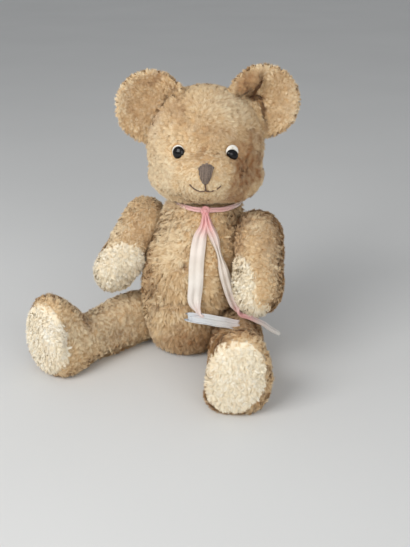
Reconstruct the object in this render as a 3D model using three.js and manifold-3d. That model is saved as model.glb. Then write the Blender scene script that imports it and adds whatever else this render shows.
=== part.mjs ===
// Threadbare teddy bear, sitting. Millimetres, +Z up. The belly faces -Y, the bear's own left
// is +X, and the origin is the middle of the flat seat. Head, arms and legs are stuffed plush
// forms, each turning on a pair of hardboard discs held together by a split pin.
import * as THREE from 'three';
import { mergeVertices } from 'three/addons/utils/BufferGeometryUtils.js';
import Module from 'manifold-3d';

const wasm = await Module();
wasm.setup();

const rad = THREE.MathUtils.degToRad;

// Clearances and cloth
const GAP = 0.3;
const TURN_GAP = 0.4;
const CLOTH = 2.5;
const PAD_CLOTH = 2.2;

// Torso: heights above the floor, half sizes across, to the front and to the back
const NECK_HEIGHT = 149;
const BELLY_HEIGHT = 70;
const CHEST_HEIGHT = 118;
const SEAT_RADIUS = 24;
const HIP_RADIUS = 42;
const BELLY_HALF_WIDTH = 49.5;
const BELLY_FRONT = 47;
const BELLY_BACK = 44;
const CHEST_HALF_WIDTH = 43;
const CHEST_DEPTH = 37;
const NECK_RADIUS = 30;
const LEAN_LEFT = rad(5.4);
const LEAN_BACK = rad(5.5);

// Head, measured from its middle
const HEAD_HALF_WIDTH = 52.5;
const HEAD_FRONT = 54;
const HEAD_BACK = 52;
const HEAD_HALF_HEIGHT = 54;
const CHEEK_FULLNESS = 0.88;
const HEAD_RISE = 50;
const HEAD_TURN = rad(20.5);
const HEAD_TILT = rad(3);
const MUZZLE_HALF_WIDTH = 34;
const MUZZLE_HALF_HEIGHT = 27;
const MUZZLE_DEPTH = 36;
const MUZZLE_FORWARD = 38;
const MUZZLE_DROP = 16;

// Ears
const EAR_RADIUS = 32;
const EAR_THICKNESS = 13;
const EAR_CUP = 10;
const EAR_OUT = 48;
const EAR_UP = 35;
const EAR_BACK = 6;
const LEFT_EAR_OUT = 4;
const LEFT_EAR_UP = 5;

// Face
const EYE_RADIUS = 6.6;
const EYE_SPREAD = rad(26);
const EYE_LIFT = rad(4);
const EYE_SINK = 1;
const EYE_RIM = 1.8;
const PUPIL_RADIUS = 5.4;
const PUPIL_RISE = 3.2;
const PUPIL_DROP = 0.9;
const STEM_RADIUS = 2;
const STEM_LENGTH = 13;
const EYE_WASHER_RADIUS = 5.5;
const EYE_WASHER_DEPTH = 8;
const EYE_WASHER_THICKNESS = 1.5;
const NOSE_WIDTH = 13;
const NOSE_HEIGHT = 16;
const NOSE_ABOVE_MUZZLE = 6;
const NOSE_TOP_SHARE = 0.6;
const NOSE_WAIST_SHARE = 0.8;
const STITCH_PROUD = 1.8;
const THREAD_WIDTH = 2;
const LIP_DROP = 6;
const LIP_REACH = 12.5;
const LIP_RISE = 4;

// Arms, measured from the shoulder pin
const ARM_ABOVE_PIN = 20;
const ARM_BELOW_PIN = 83;
const ARM_HALF_WIDTH = 22;
const ARM_HALF_THICKNESS = 21.5;
const PAW_BEND = 7;
const SHOULDER_SPREAD = 41;
const SHOULDER_HEIGHT = 115;
const PAW_CLEARANCE = 9.681180163;
const SHOULDER_TILT = Math.atan2(
  BELLY_HALF_WIDTH + PAW_CLEARANCE - SHOULDER_SPREAD, SHOULDER_HEIGHT - BELLY_HEIGHT);
const LEFT_ARM_SWING = rad(43);
const RIGHT_ARM_SWING = rad(30);
const PAW_PAD_LENGTH = 54;
const PAW_PAD_WIDTH = 38;
const PAW_PAD_TURN = rad(38);

// Legs, measured from the hip pin
const LEG_ABOVE_PIN = 27;
const LEG_BELOW_PIN = 118;
const THIGH_HALF_DEPTH = 25;
const THIGH_HALF_WIDTH = 25;
const ANKLE_HALF_DEPTH = 22;
const ANKLE_HALF_WIDTH = 23.5;
const FOOT_HALF_WIDTH = 33.5;
const TOE_REACH = 53;
const HEEL_REACH = 25;
const FOOT_LENGTH = 50;
const HIP_SPREAD = 32;
const HIP_FORWARD = 10;
const LEFT_HIP_SPLAY = rad(17);
const RIGHT_HIP_SPLAY = rad(23);
const HIP_CANT = rad(12);
const FLOOR_FLAT = 2;
const SOLE_PAD_WIDTH = 49;
const SOLE_PAD_LENGTH = 62;

// How far the round limb tops sink into the flat where they meet the torso
const LIMB_SINK = 4.5;

// Shapes of the limbs: share of the length, then share of the full thickness there
const PAW_SHAPE = [[1, 0], [0.93, 0.6], [0.75, 0.95], [0.4, 0.98], [0, 1]];
const FOOT_SHAPE = [[0.03, 0.7], [0.22, 0.98], [0.5, 0.94]];
const LIMB_TOP_SHAPE = [[0.75, 0.68], [1, 0]];
const KNEE_SHARE = 0.97;

// Ribbon round the neck, with its two tails
const RIBBON_WIDTH = 14;
const RIBBON_THICKNESS = 1.2;
const COLLAR_THICKNESS = 4;
const COLLAR_DROP = 1.5;
const KNOT_SIZE = 5;
const KNOT_TURN = HEAD_TURN;
const FOLD_LINE = [0.3, -1, 0];
const LAP_TAIL = [
  [27.5, -22, 134], [24.5, -25.5, 122], [24.5, -31.5, 103], [25.5, -37, 82], [26, -41, 64],
  [29, -43, 50],
];
const LAP_FOLD = [[22, -45, 49], [36, -45, 50], [50, -43, 50], [64, -40, 49]];
const PAW_TAIL = [
  [31, -21, 135], [37, -21.5, 123], [42, -22.5, 109], [47, -23, 93], [51.5, -22.5, 76],
  [57, -22, 60],
];
const THIGH_TAIL = [[63, -22, 50], [71, -22, 46.5], [81, -20, 41], [90, -16, 35], [98, -11, 30]];

// Joint hardware
const NECK_DISC_RADIUS = 20;
const SHOULDER_DISC_RADIUS = 14;
const HIP_DISC_RADIUS = 13;
const DISC_THICKNESS = 2.5;
const WASHER_RADIUS = 7;
const WASHER_THICKNESS = 0.8;
const WIRE_RADIUS = 0.8;
const PIN_EYE_RADIUS = 2;
const PIN_CURL_RADIUS = 2.2;
const PIN_HOLE_RADIUS = 2.2;

// Facets around each form
const TORSO_SIDES = 26;
const HEAD_SIDES = 28;
const LIMB_SIDES = 20;
const EAR_SIDES = 20;
const ROUND_SIDES = 12;
const MUZZLE_SIDES = 20;
const ROWS_PER_STATION = 2;
const HEAD_STATIONS = 7;
const RELIEF_STEPS = 8;
const DOME_STEPS = 5;
const THREAD_STEPS = 5;
const COLLAR_SIDES = 28;
const STRAND_SIDES = 6;
const CURL_STEPS = 5;
const PIN_EYE_STEPS = 8;
const PAD_STEPS = 14;
const FAR = 400;

const finish = (color, roughness, metalness = 0) =>
  new THREE.MeshStandardMaterial({ color, roughness, metalness });
const tanPlush = () => finish(0xc4a276, 0.95);
const creamPlush = () => finish(0xe2d4b4, 0.95);
const blackPlastic = () => finish(0x0c0b0b, 0.12);
const whitePlastic = () => finish(0xe9e4d8, 0.3);
const brownThread = () => finish(0x5c4c42, 0.7);
const satin = () => finish(0xeee4e2, 0.45);
const hardboard = () => finish(0x8a6a48, 0.8);
const steel = () => finish(0xa9a9a6, 0.35, 0.9);

// A closed geometry as a solid that can be joined and cut
function solidOf(geometry) {
  const bare = geometry.clone();
  bare.deleteAttribute('normal');
  bare.deleteAttribute('uv');
  const merged = mergeVertices(bare, 1e-4);
  const kept = [];
  const index = merged.index.array;
  for (let i = 0; i < index.length; i += 3) {
    const [a, b, c] = index.slice(i, i + 3);
    if (a !== b && b !== c && c !== a) kept.push(a, b, c);
  }
  const vertProperties = Float32Array.from(merged.attributes.position.array);
  if (signedVolume(vertProperties, kept) < 0) kept.reverse();
  return new wasm.Manifold(new wasm.Mesh({
    numProp: 3, vertProperties, triVerts: Uint32Array.from(kept),
  }));
}

function signedVolume(places, triangles) {
  const corner = (i) => new THREE.Vector3().fromArray(places, 3 * triangles[i]);
  let volume = 0;
  for (let i = 0; i < triangles.length; i += 3) {
    volume += corner(i).dot(corner(i + 1).cross(corner(i + 2))) / 6;
  }
  return volume;
}

function geometryOf(solid) {
  const mesh = solid.getMesh();
  const geometry = new THREE.BufferGeometry();
  geometry.setAttribute('position', new THREE.BufferAttribute(mesh.vertProperties, 3));
  geometry.setIndex(new THREE.BufferAttribute(mesh.triVerts, 1));
  geometry.computeVertexNormals();
  return geometry;
}

function addPiece(group, name, solid, material) {
  const mesh = new THREE.Mesh(geometryOf(solid), material);
  mesh.name = name;
  group.add(mesh);
}

// A shape moved from one group's frame into another's
function carried(geometry, from, to) {
  from.updateWorldMatrix(true, false);
  to.updateWorldMatrix(true, false);
  const move = to.matrixWorld.clone().invert().multiply(from.matrixWorld);
  return geometry.clone().applyMatrix4(move);
}

// A round solid from its half profile, with +Z as its axis
function turned(profile, sides = ROUND_SIDES) {
  const points = profile.map(([r, z]) => new THREE.Vector2(r, z));
  return new THREE.LatheGeometry(points, sides).rotateX(Math.PI / 2);
}

// A stuffed form: a ball drawn out over stations along Z, each with its half width and its
// reach to the front and back, and grown all over by `grow`
function stuffed(stations, sides, grow = 0) {
  const last = stations.length - 1;
  const swell = (size) => (size > 0 ? size + grow : 0);
  const centre = (stations[0].z + stations[last].z) / 2;
  const stretch = 1 + grow / (stations[last].z - centre);
  const middles = new THREE.CatmullRomCurve3(
    stations.map((s) => new THREE.Vector3(s.x ?? 0, s.y ?? 0, centre + (s.z - centre) * stretch)),
    false, 'catmullrom');
  const reaches = new THREE.CatmullRomCurve3(
    stations.map((s) => new THREE.Vector3(swell(s.half), swell(s.front), swell(s.back))),
    false, 'catmullrom');
  const ball = new THREE.SphereGeometry(1, sides, last * ROWS_PER_STATION).rotateX(Math.PI / 2);
  const place = ball.attributes.position;
  const p = new THREE.Vector3();
  for (let i = 0; i < place.count; i += 1) {
    p.fromBufferAttribute(place, i);
    const along = 1 - Math.acos(THREE.MathUtils.clamp(p.z, -1, 1)) / Math.PI;
    const turn = Math.atan2(p.y, p.x);
    const middle = middles.getPoint(along);
    const reach = reaches.getPoint(along);
    const isPole = Math.hypot(p.x, p.y) < 1e-6;
    const across = isPole ? 0 : Math.max(reach.x, 0) * Math.cos(turn);
    const deep = isPole ? 0 : Math.max(turn < 0 ? reach.y : reach.z, 0) * Math.sin(turn);
    place.setXYZ(i, middle.x + across, middle.y + deep, middle.z);
  }
  return solidOf(ball);
}

// Everything beyond a plane across a hub's axis, `start` along it
function beyond(start) {
  return new THREE.BoxGeometry(FAR, FAR, FAR).translate(0, 0, start + FAR / 2);
}

// The bear and the frames that its joints turn in
const bear = new THREE.Group();

function leanAt(z) {
  return new THREE.Vector3(z * Math.tan(LEAN_LEFT), z * Math.tan(LEAN_BACK), z);
}

function childGroup(parent) {
  const group = new THREE.Group();
  parent.add(group);
  return group;
}

// A limb's seat on the torso, its swing, and hubs whose +Z is the outward pin axis
function limbFrame(side, place, yaw, tilt, swing) {
  const seat = childGroup(bear);
  seat.position.copy(place);
  seat.rotation.set(0, tilt, yaw, 'ZYX');
  const limb = childGroup(seat);
  limb.rotation.x = -swing;
  const baseHub = childGroup(seat);
  baseHub.rotation.y = side * Math.PI / 2;
  const limbHub = childGroup(limb);
  limbHub.rotation.y = side * Math.PI / 2;
  return { side, limb, baseHub, limbHub };
}

// The leg lies with thigh and heel both on the floor
const HIP_HEIGHT = (THIGH_HALF_DEPTH - FLOOR_FLAT) * Math.cos(HIP_CANT)
  + (THIGH_HALF_WIDTH - LIMB_SINK) * Math.sin(HIP_CANT);
const LEG_SWING = Math.PI / 2
  - Math.atan2(THIGH_HALF_DEPTH - HEEL_REACH, LEG_BELOW_PIN - HEEL_REACH);

const sides = { left: 1, right: -1 };
const shoulders = {};
const hips = {};
for (const [name, side] of Object.entries(sides)) {
  const swing = side > 0 ? LEFT_ARM_SWING : RIGHT_ARM_SWING;
  const splay = side > 0 ? LEFT_HIP_SPLAY : RIGHT_HIP_SPLAY;
  const shoulder = leanAt(SHOULDER_HEIGHT).add(new THREE.Vector3(side * SHOULDER_SPREAD, 0, 0));
  shoulders[name] = limbFrame(side, shoulder, 0, -side * SHOULDER_TILT, swing);
  const hip = new THREE.Vector3(side * HIP_SPREAD, -HIP_FORWARD, HIP_HEIGHT);
  hips[name] = limbFrame(side, hip, side * splay, side * HIP_CANT, LEG_SWING);
}

const neck = childGroup(bear);
neck.position.copy(leanAt(NECK_HEIGHT));
const head = childGroup(neck);
head.rotation.z = HEAD_TURN;
const face = childGroup(head);
face.position.z = HEAD_RISE;
face.rotation.x = -HEAD_TILT;

// Joint hardware, along a hub's axis from the face where limb and torso meet
const DISC_START = CLOTH + GAP;
const WASHER_START = DISC_START + DISC_THICKNESS + GAP;
const PIN_END_START = WASHER_START + WASHER_THICKNESS + GAP;
const EYE_ROOM = 2 * (PIN_EYE_RADIUS + WIRE_RADIUS) + GAP;
const CURL_ROOM = PIN_CURL_RADIUS + 2 * WIRE_RADIUS + GAP;
const PIN_ROOM_RADIUS = WASHER_RADIUS + 2 * GAP;

// The hollow that holds one disc, its washer and one end of the pin, open along the pin hole
function pocket(discRadius, endRoom, direction) {
  const wide = discRadius + GAP;
  const step = WASHER_START;
  const end = PIN_END_START + endRoom;
  const profile = [
    [0, -CLOTH], [PIN_HOLE_RADIUS, -CLOTH], [PIN_HOLE_RADIUS, CLOTH], [wide, CLOTH],
    [wide, step], [PIN_ROOM_RADIUS, step], [PIN_ROOM_RADIUS, end], [0, end],
  ];
  return facing(turned(profile), direction);
}

// A shape on a hub's axis, turned over where it lies on the torso's side
function facing(shape, direction) {
  return direction > 0 ? shape : shape.rotateX(Math.PI);
}

function ring(outer, inner, start, thickness) {
  const end = start + thickness;
  return turned([[inner, start], [outer, start], [outer, end], [inner, end], [inner, start]]);
}

// A split pin: one wire bent round an eye, its two legs side by side, their ends curled apart
function splitPin() {
  const leg = WIRE_RADIUS + GAP / 2;
  const eyeMiddle = -(PIN_END_START + WIRE_RADIUS + PIN_EYE_RADIUS);
  const curlStart = PIN_END_START + WIRE_RADIUS;
  const points = [];
  const arc = (x, z, radius, from, to, steps) => {
    for (let i = 0; i <= steps; i += 1) {
      const angle = THREE.MathUtils.lerp(from, to, i / steps);
      points.push(new THREE.Vector3(x + radius * Math.cos(angle), 0, z + radius * Math.sin(angle)));
    }
  };
  const opening = Math.asin(leg / PIN_EYE_RADIUS);
  arc(-leg - PIN_CURL_RADIUS, curlStart, PIN_CURL_RADIUS, Math.PI, 0, CURL_STEPS);
  const first = Math.PI / 2 + opening;
  arc(0, eyeMiddle, PIN_EYE_RADIUS, first, first + 2 * (Math.PI - opening), PIN_EYE_STEPS);
  arc(leg + PIN_CURL_RADIUS, curlStart, PIN_CURL_RADIUS, Math.PI, 0, CURL_STEPS);
  return wireAlong(points);
}

// A wire of even thickness through points that lie in the XZ plane
function wireAlong(points) {
  const count = points.length;
  const rod = new THREE.CylinderGeometry(1, 1, 1, STRAND_SIDES, count - 1);
  const place = rod.attributes.position;
  const p = new THREE.Vector3();
  const side = new THREE.Vector3(0, 1, 0);
  for (let i = 0; i < place.count; i += 1) {
    p.fromBufferAttribute(place, i);
    const row = Math.round((0.5 - p.y) * (count - 1));
    const before = points[Math.max(row - 1, 0)];
    const after = points[Math.min(row + 1, count - 1)];
    const ahead = after.clone().sub(before).normalize();
    const out = new THREE.Vector3().crossVectors(side, ahead);
    const spot = points[row].clone()
      .addScaledVector(out, p.x * WIRE_RADIUS)
      .addScaledVector(side, p.z * WIRE_RADIUS);
    place.setXYZ(i, spot.x, spot.y, spot.z);
  }
  return rod;
}

const joints = {
  neck: { baseHub: neck, limbHub: head, disc: NECK_DISC_RADIUS },
  left_shoulder: { ...shoulders.left, disc: SHOULDER_DISC_RADIUS },
  right_shoulder: { ...shoulders.right, disc: SHOULDER_DISC_RADIUS },
  left_hip: { ...hips.left, disc: HIP_DISC_RADIUS },
  right_hip: { ...hips.right, disc: HIP_DISC_RADIUS },
};

for (const [name, joint] of Object.entries(joints)) {
  const ends = { inner: { hub: joint.baseHub, facing: -1 }, outer: { hub: joint.limbHub, facing: 1 } };
  for (const [end, { hub, facing: direction }] of Object.entries(ends)) {
    const disc = ring(joint.disc, PIN_HOLE_RADIUS, DISC_START, DISC_THICKNESS);
    const washer = ring(WASHER_RADIUS, PIN_HOLE_RADIUS, WASHER_START, WASHER_THICKNESS);
    addPiece(hub, `${name}_${end}_disc`, solidOf(facing(disc, direction)), hardboard());
    addPiece(hub, `${name}_${end}_washer`, solidOf(facing(washer, direction)), steel());
  }
  addPiece(joint.baseHub, `${name}_split_pin`, solidOf(splitPin()), steel());
}

// Torso: a pear standing on its flat seat, with a flat for each joint
function torsoForm(grow = 0) {
  const station = (z, half, front, back) => {
    const middle = leanAt(z);
    return { x: middle.x, y: middle.y, z, half, front, back };
  };
  const round = (z, radius) => station(z, radius, radius, radius);
  const below = -SEAT_RADIUS / 2;
  const above = NECK_HEIGHT + NECK_RADIUS / 2;
  const low = BELLY_HEIGHT / 3;
  return stuffed([
    round(below, 0),
    round(0, SEAT_RADIUS),
    round(low, HIP_RADIUS),
    station(BELLY_HEIGHT, BELLY_HALF_WIDTH, BELLY_FRONT, BELLY_BACK),
    station(CHEST_HEIGHT, CHEST_HALF_WIDTH, CHEST_DEPTH, CHEST_DEPTH),
    round(NECK_HEIGHT, NECK_RADIUS),
    round(above, 0),
  ], TORSO_SIDES, grow);
}

// The hollow that a thigh turns in: round over the hip, open to the front and below
function hipRelief(side) {
  const reach = Math.max(LEG_ABOVE_PIN, THIGH_HALF_DEPTH) + 2 * GAP;
  const at = (forward, up) => new THREE.Vector2(-side * up, -forward);
  const crown = [];
  for (let i = 0; i <= RELIEF_STEPS; i += 1) {
    const angle = (i / RELIEF_STEPS) * Math.PI / 2;
    crown.push(at(-reach * Math.cos(angle), reach * Math.sin(angle)));
  }
  const outline = new THREE.Shape([at(-reach, -FAR), ...crown, at(FAR, reach), at(FAR, -FAR)]);
  const relief = new THREE.ExtrudeGeometry(outline, { depth: FAR, bevelEnabled: false });
  return relief.translate(0, 0, -TURN_GAP / 2);
}

const floor = new THREE.BoxGeometry(2 * FAR, 2 * FAR, FAR).translate(0, 0, -FAR / 2);

function buildTorso() {
  let torso = torsoForm().subtract(solidOf(floor));
  const cut = (shape, frame) => {
    torso = torso.subtract(solidOf(carried(shape, frame, bear)));
  };
  for (const name of ['neck', 'left_shoulder', 'right_shoulder']) {
    cut(beyond(-TURN_GAP / 2), joints[name].baseHub);
  }
  for (const hip of Object.values(hips)) {
    cut(hipRelief(hip.side), hip.baseHub);
  }
  for (const joint of Object.values(joints)) {
    cut(pocket(joint.disc, EYE_ROOM, -1), joint.baseHub);
  }
  return torso;
}

addPiece(bear, 'torso', buildTorso(), tanPlush());

// Head: a round ball, fuller in the cheeks, with the muzzle blended onto its front
function headForm(grow = 0) {
  const stations = [];
  for (let i = 0; i <= HEAD_STATIONS; i += 1) {
    const angle = (i / HEAD_STATIONS - 0.5) * Math.PI;
    const fullness = angle < 0 ? CHEEK_FULLNESS : 1;
    const share = i % HEAD_STATIONS === 0 ? 0 : Math.cos(angle) ** fullness;
    stations.push({
      z: HEAD_HALF_HEIGHT * Math.sin(angle),
      half: HEAD_HALF_WIDTH * share,
      front: HEAD_FRONT * share,
      back: HEAD_BACK * share,
    });
  }
  const muzzle = new THREE.SphereGeometry(1, MUZZLE_SIDES, MUZZLE_SIDES / 2);
  muzzle.scale(MUZZLE_HALF_WIDTH + grow, MUZZLE_DEPTH + grow, MUZZLE_HALF_HEIGHT + grow);
  muzzle.translate(0, -MUZZLE_FORWARD, -MUZZLE_DROP);
  return stuffed(stations, HEAD_SIDES, grow).add(solidOf(muzzle));
}

// An eye's frame on the head: +Z points out of the plush, +Y up
function eyeFrame(side) {
  const size = new THREE.Vector3(HEAD_HALF_WIDTH, HEAD_FRONT, HEAD_HALF_HEIGHT);
  const gaze = new THREE.Vector3(
    side * Math.sin(EYE_SPREAD) * Math.cos(EYE_LIFT),
    -Math.cos(EYE_SPREAD) * Math.cos(EYE_LIFT),
    Math.sin(EYE_LIFT));
  const frame = childGroup(face);
  frame.position.copy(gaze).divideScalar(gaze.clone().divide(size).length());
  const normal = frame.position.clone().divide(size).divide(size).normalize();
  frame.quaternion.setFromUnitVectors(new THREE.Vector3(0, 0, 1), normal);
  return frame;
}

const EYE_BACK = GAP - EYE_SINK;
const EYE_FRONT = EYE_BACK + EYE_RIM;
const STEM_END = EYE_BACK - STEM_LENGTH;
const EYE_WASHER_TOP = -EYE_WASHER_DEPTH - GAP;

// The shallow seat for an eye, the hole for its stem and the hollow for its washer
function eyeSocket() {
  const hole = STEM_RADIUS + GAP;
  const chamber = EYE_WASHER_RADIUS + GAP;
  const seat = EYE_RADIUS + GAP;
  return turned([
    [0, STEM_END - GAP], [chamber, STEM_END - GAP], [chamber, -EYE_WASHER_DEPTH],
    [hole, -EYE_WASHER_DEPTH], [hole, -EYE_SINK], [seat, -EYE_SINK],
    [seat, EYE_RADIUS], [0, EYE_RADIUS],
  ]);
}

function eyeWhite() {
  const bevel = EYE_RIM / 3;
  return turned([
    [0, STEM_END], [STEM_RADIUS, STEM_END], [STEM_RADIUS, EYE_BACK], [EYE_RADIUS - bevel, EYE_BACK],
    [EYE_RADIUS, EYE_BACK + bevel], [EYE_RADIUS - bevel, EYE_FRONT], [0, EYE_FRONT],
  ]);
}

function eyePupil() {
  const base = EYE_FRONT + GAP / 2;
  const profile = [[0, base]];
  for (let i = 0; i <= DOME_STEPS; i += 1) {
    const angle = (i / DOME_STEPS) * Math.PI / 2;
    const radius = i === DOME_STEPS ? 0 : PUPIL_RADIUS * Math.cos(angle);
    profile.push([radius, base + PUPIL_RISE * Math.sin(angle)]);
  }
  return turned(profile).translate(0, -PUPIL_DROP, 0);
}

// A sewn mark on the muzzle: an outline seen from the front, standing proud of the plush
function sewnOn(outline) {
  const prism = new THREE.ExtrudeGeometry(outline, { depth: FAR / 2, bevelEnabled: false });
  prism.rotateX(Math.PI / 2);
  return headForm(STITCH_PROUD + GAP).subtract(headForm(GAP)).intersect(solidOf(prism));
}

const NOSE_MIDDLE = NOSE_ABOVE_MUZZLE - MUZZLE_DROP;
const NOSE_FOOT = NOSE_MIDDLE - NOSE_HEIGHT / 2;
const LIP_HEIGHT = NOSE_FOOT - LIP_DROP;

function noseOutline() {
  const half = NOSE_WIDTH / 2;
  const top = NOSE_MIDDLE + NOSE_HEIGHT / 2;
  const shoulder = NOSE_MIDDLE + NOSE_HEIGHT / 4;
  const outline = new THREE.Shape();
  outline.moveTo(-half * NOSE_TOP_SHARE, top);
  outline.lineTo(half * NOSE_TOP_SHARE, top);
  outline.quadraticCurveTo(half, top, half, shoulder);
  outline.quadraticCurveTo(half * NOSE_WAIST_SHARE, NOSE_MIDDLE - NOSE_HEIGHT / 6, 0, NOSE_FOOT);
  outline.quadraticCurveTo(-half * NOSE_WAIST_SHARE, NOSE_MIDDLE - NOSE_HEIGHT / 6, -half, shoulder);
  outline.quadraticCurveTo(-half, top, -half * NOSE_TOP_SHARE, top);
  return outline;
}

function threadOutline(curve) {
  const left = [];
  const right = [];
  for (let i = 0; i <= THREAD_STEPS; i += 1) {
    const spot = curve.getPoint(i / THREAD_STEPS);
    const ahead = curve.getTangent(i / THREAD_STEPS);
    const aside = new THREE.Vector2(-ahead.y, ahead.x).multiplyScalar(THREAD_WIDTH / 2);
    left.push(spot.clone().add(aside));
    right.unshift(spot.clone().sub(aside));
  }
  return new THREE.Shape([...left, ...right]);
}

function lipCurve(side) {
  const start = side * (THREAD_WIDTH / 2 + 2 * GAP);
  return new THREE.QuadraticBezierCurve(
    new THREE.Vector2(start, LIP_HEIGHT),
    new THREE.Vector2(side * LIP_REACH / 2, LIP_HEIGHT - LIP_RISE / 2),
    new THREE.Vector2(side * LIP_REACH, LIP_HEIGHT + LIP_RISE));
}

const philtrum = new THREE.LineCurve(
  new THREE.Vector2(0, NOSE_FOOT - 3 * GAP), new THREE.Vector2(0, LIP_HEIGHT - THREAD_WIDTH / 2));

addPiece(face, 'nose_stitching', sewnOn(noseOutline()), brownThread());
addPiece(face, 'mouth_stitch_centre', sewnOn(threadOutline(philtrum)), brownThread());

// An ear: a round flat cushion cupped towards the front, its inner edge sewn along the head
function earForm(side) {
  const ear = new THREE.SphereGeometry(1, EAR_SIDES, EAR_SIDES / 2).rotateX(Math.PI / 2);
  ear.rotateX(Math.PI / 2);
  ear.scale(EAR_RADIUS, EAR_THICKNESS / 2, EAR_RADIUS);
  const place = ear.attributes.position;
  for (let i = 0; i < place.count; i += 1) {
    const rim = Math.hypot(place.getX(i), place.getZ(i)) / EAR_RADIUS;
    place.setY(i, place.getY(i) - EAR_CUP * rim * rim);
  }
  const out = EAR_OUT + (side > 0 ? LEFT_EAR_OUT : 0);
  const up = EAR_UP + (side > 0 ? LEFT_EAR_UP : 0);
  ear.translate(side * out, EAR_BACK, up);
  return solidOf(ear).subtract(headForm(GAP));
}

let headSolid = headForm();
for (const [name, side] of Object.entries(sides)) {
  const eye = eyeFrame(side);
  headSolid = headSolid.subtract(solidOf(carried(eyeSocket(), eye, face)));
  addPiece(eye, `${name}_eye_white`, solidOf(eyeWhite()), whitePlastic());
  addPiece(eye, `${name}_eye_pupil`, solidOf(eyePupil()), blackPlastic());
  const eyeWasher = ring(EYE_WASHER_RADIUS, STEM_RADIUS + GAP,
    EYE_WASHER_TOP - EYE_WASHER_THICKNESS, EYE_WASHER_THICKNESS);
  addPiece(eye, `${name}_eye_washer`, solidOf(eyeWasher), whitePlastic());
  addPiece(face, `${name}_ear`, earForm(side), tanPlush());
  addPiece(face, `mouth_stitch_${name}`, sewnOn(threadOutline(lipCurve(side))), brownThread());
}
headSolid = headSolid
  .intersect(solidOf(carried(beyond(TURN_GAP / 2), head, face)))
  .subtract(solidOf(carried(pocket(NECK_DISC_RADIUS, CURL_ROOM, 1), head, face)));
addPiece(face, 'head', headSolid, tanPlush());

// A limb trimmed to its flat inner face, with the hollow for its half of the joint
function trimmedLimb(form, frame, disc) {
  const flat = solidOf(carried(beyond(TURN_GAP / 2), frame.limbHub, frame.limb));
  const hollow = solidOf(carried(pocket(disc, CURL_ROOM, 1), frame.limbHub, frame.limb));
  return form.intersect(flat).subtract(hollow);
}

// A pad let into a limb's cover: the outer layer of the form inside an outline
function letIn(form, region, wideRegion, grown, shrunk, deeper) {
  const pad = form.subtract(shrunk).intersect(region);
  const seat = grown.subtract(deeper).intersect(wideRegion);
  return { pad, seat };
}

// Arms hang from the shoulder pin and bend a little forward at the paw
function armForm(side, grow = 0) {
  const station = (z, share) => ({
    x: side * (ARM_HALF_THICKNESS - LIMB_SINK),
    y: -PAW_BEND * (Math.min(z, 0) / ARM_BELOW_PIN) ** 2,
    z,
    half: ARM_HALF_THICKNESS * share,
    front: ARM_HALF_WIDTH * share,
    back: ARM_HALF_WIDTH * share,
  });
  return stuffed([
    ...PAW_SHAPE.map(([down, share]) => station(-ARM_BELOW_PIN * down, share)),
    ...LIMB_TOP_SHAPE.map(([up, share]) => station(ARM_ABOVE_PIN * up, share)),
  ], LIMB_SIDES, grow);
}

function ovalPrism(width, length, depth) {
  const outline = new THREE.Shape();
  outline.absellipse(0, 0, width / 2, length / 2, 0, 2 * Math.PI);
  return new THREE.ExtrudeGeometry(outline, { depth, bevelEnabled: false, curveSegments: PAD_STEPS });
}

// The paw pad faces forward and towards the belly, down to the tip of the paw
function pawPadRegion(side, spare) {
  const oval = ovalPrism(PAW_PAD_WIDTH + 2 * spare, PAW_PAD_LENGTH + 2 * spare, FAR / 2);
  oval.rotateX(Math.PI / 2);
  oval.rotateZ(-side * PAW_PAD_TURN);
  oval.translate(side * (ARM_HALF_THICKNESS - LIMB_SINK), 0, PAW_PAD_LENGTH / 2 - ARM_BELOW_PIN);
  return solidOf(oval);
}

for (const [name, frame] of Object.entries(shoulders)) {
  const { side } = frame;
  const form = (grow) => armForm(side, grow);
  const { pad, seat } = letIn(form(0), pawPadRegion(side, 0), pawPadRegion(side, GAP),
    form(PAD_CLOTH), form(-PAD_CLOTH), form(-PAD_CLOTH - GAP));
  const arm = trimmedLimb(form(0), frame, SHOULDER_DISC_RADIUS).subtract(seat);
  addPiece(frame.limb, `${name}_arm`, arm, tanPlush());
  addPiece(frame.limb, `${name}_paw_pad`, pad, creamPlush());
}

// Legs run straight from the hip to an upright foot with a flat oval sole
function legForm(side, grow = 0) {
  const station = (z, half, front, back, y = 0) => ({
    x: side * (THIGH_HALF_WIDTH - LIMB_SINK), y, z, half, front, back,
  });
  const foot = (z, share) =>
    station(z, FOOT_HALF_WIDTH * share, TOE_REACH * share, HEEL_REACH * share);
  const thigh = (z, share) =>
    station(z, THIGH_HALF_WIDTH * share, THIGH_HALF_DEPTH * share, THIGH_HALF_DEPTH * share);
  const soleMiddle = (HEEL_REACH - TOE_REACH) / 2;
  const ankle = FOOT_LENGTH - LEG_BELOW_PIN;
  return stuffed([
    station(-LEG_BELOW_PIN, 0, 0, 0, soleMiddle),
    ...FOOT_SHAPE.map(([up, share]) => foot(FOOT_LENGTH * up - LEG_BELOW_PIN, share)),
    station(ankle, ANKLE_HALF_WIDTH, ANKLE_HALF_DEPTH, ANKLE_HALF_DEPTH),
    thigh(ankle / 2, KNEE_SHARE),
    thigh(0, 1),
    ...LIMB_TOP_SHAPE.map(([up, share]) => thigh(LEG_ABOVE_PIN * up, share)),
  ], LIMB_SIDES, grow);
}

function solePadRegion(side, spare) {
  const depth = FOOT_LENGTH / 2;
  const oval = ovalPrism(SOLE_PAD_WIDTH + 2 * spare, SOLE_PAD_LENGTH + 2 * spare, depth);
  const middle = (HEEL_REACH - TOE_REACH) / 2;
  oval.translate(side * (THIGH_HALF_WIDTH - LIMB_SINK), middle, -LEG_BELOW_PIN - depth / 2);
  return solidOf(oval);
}

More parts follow.
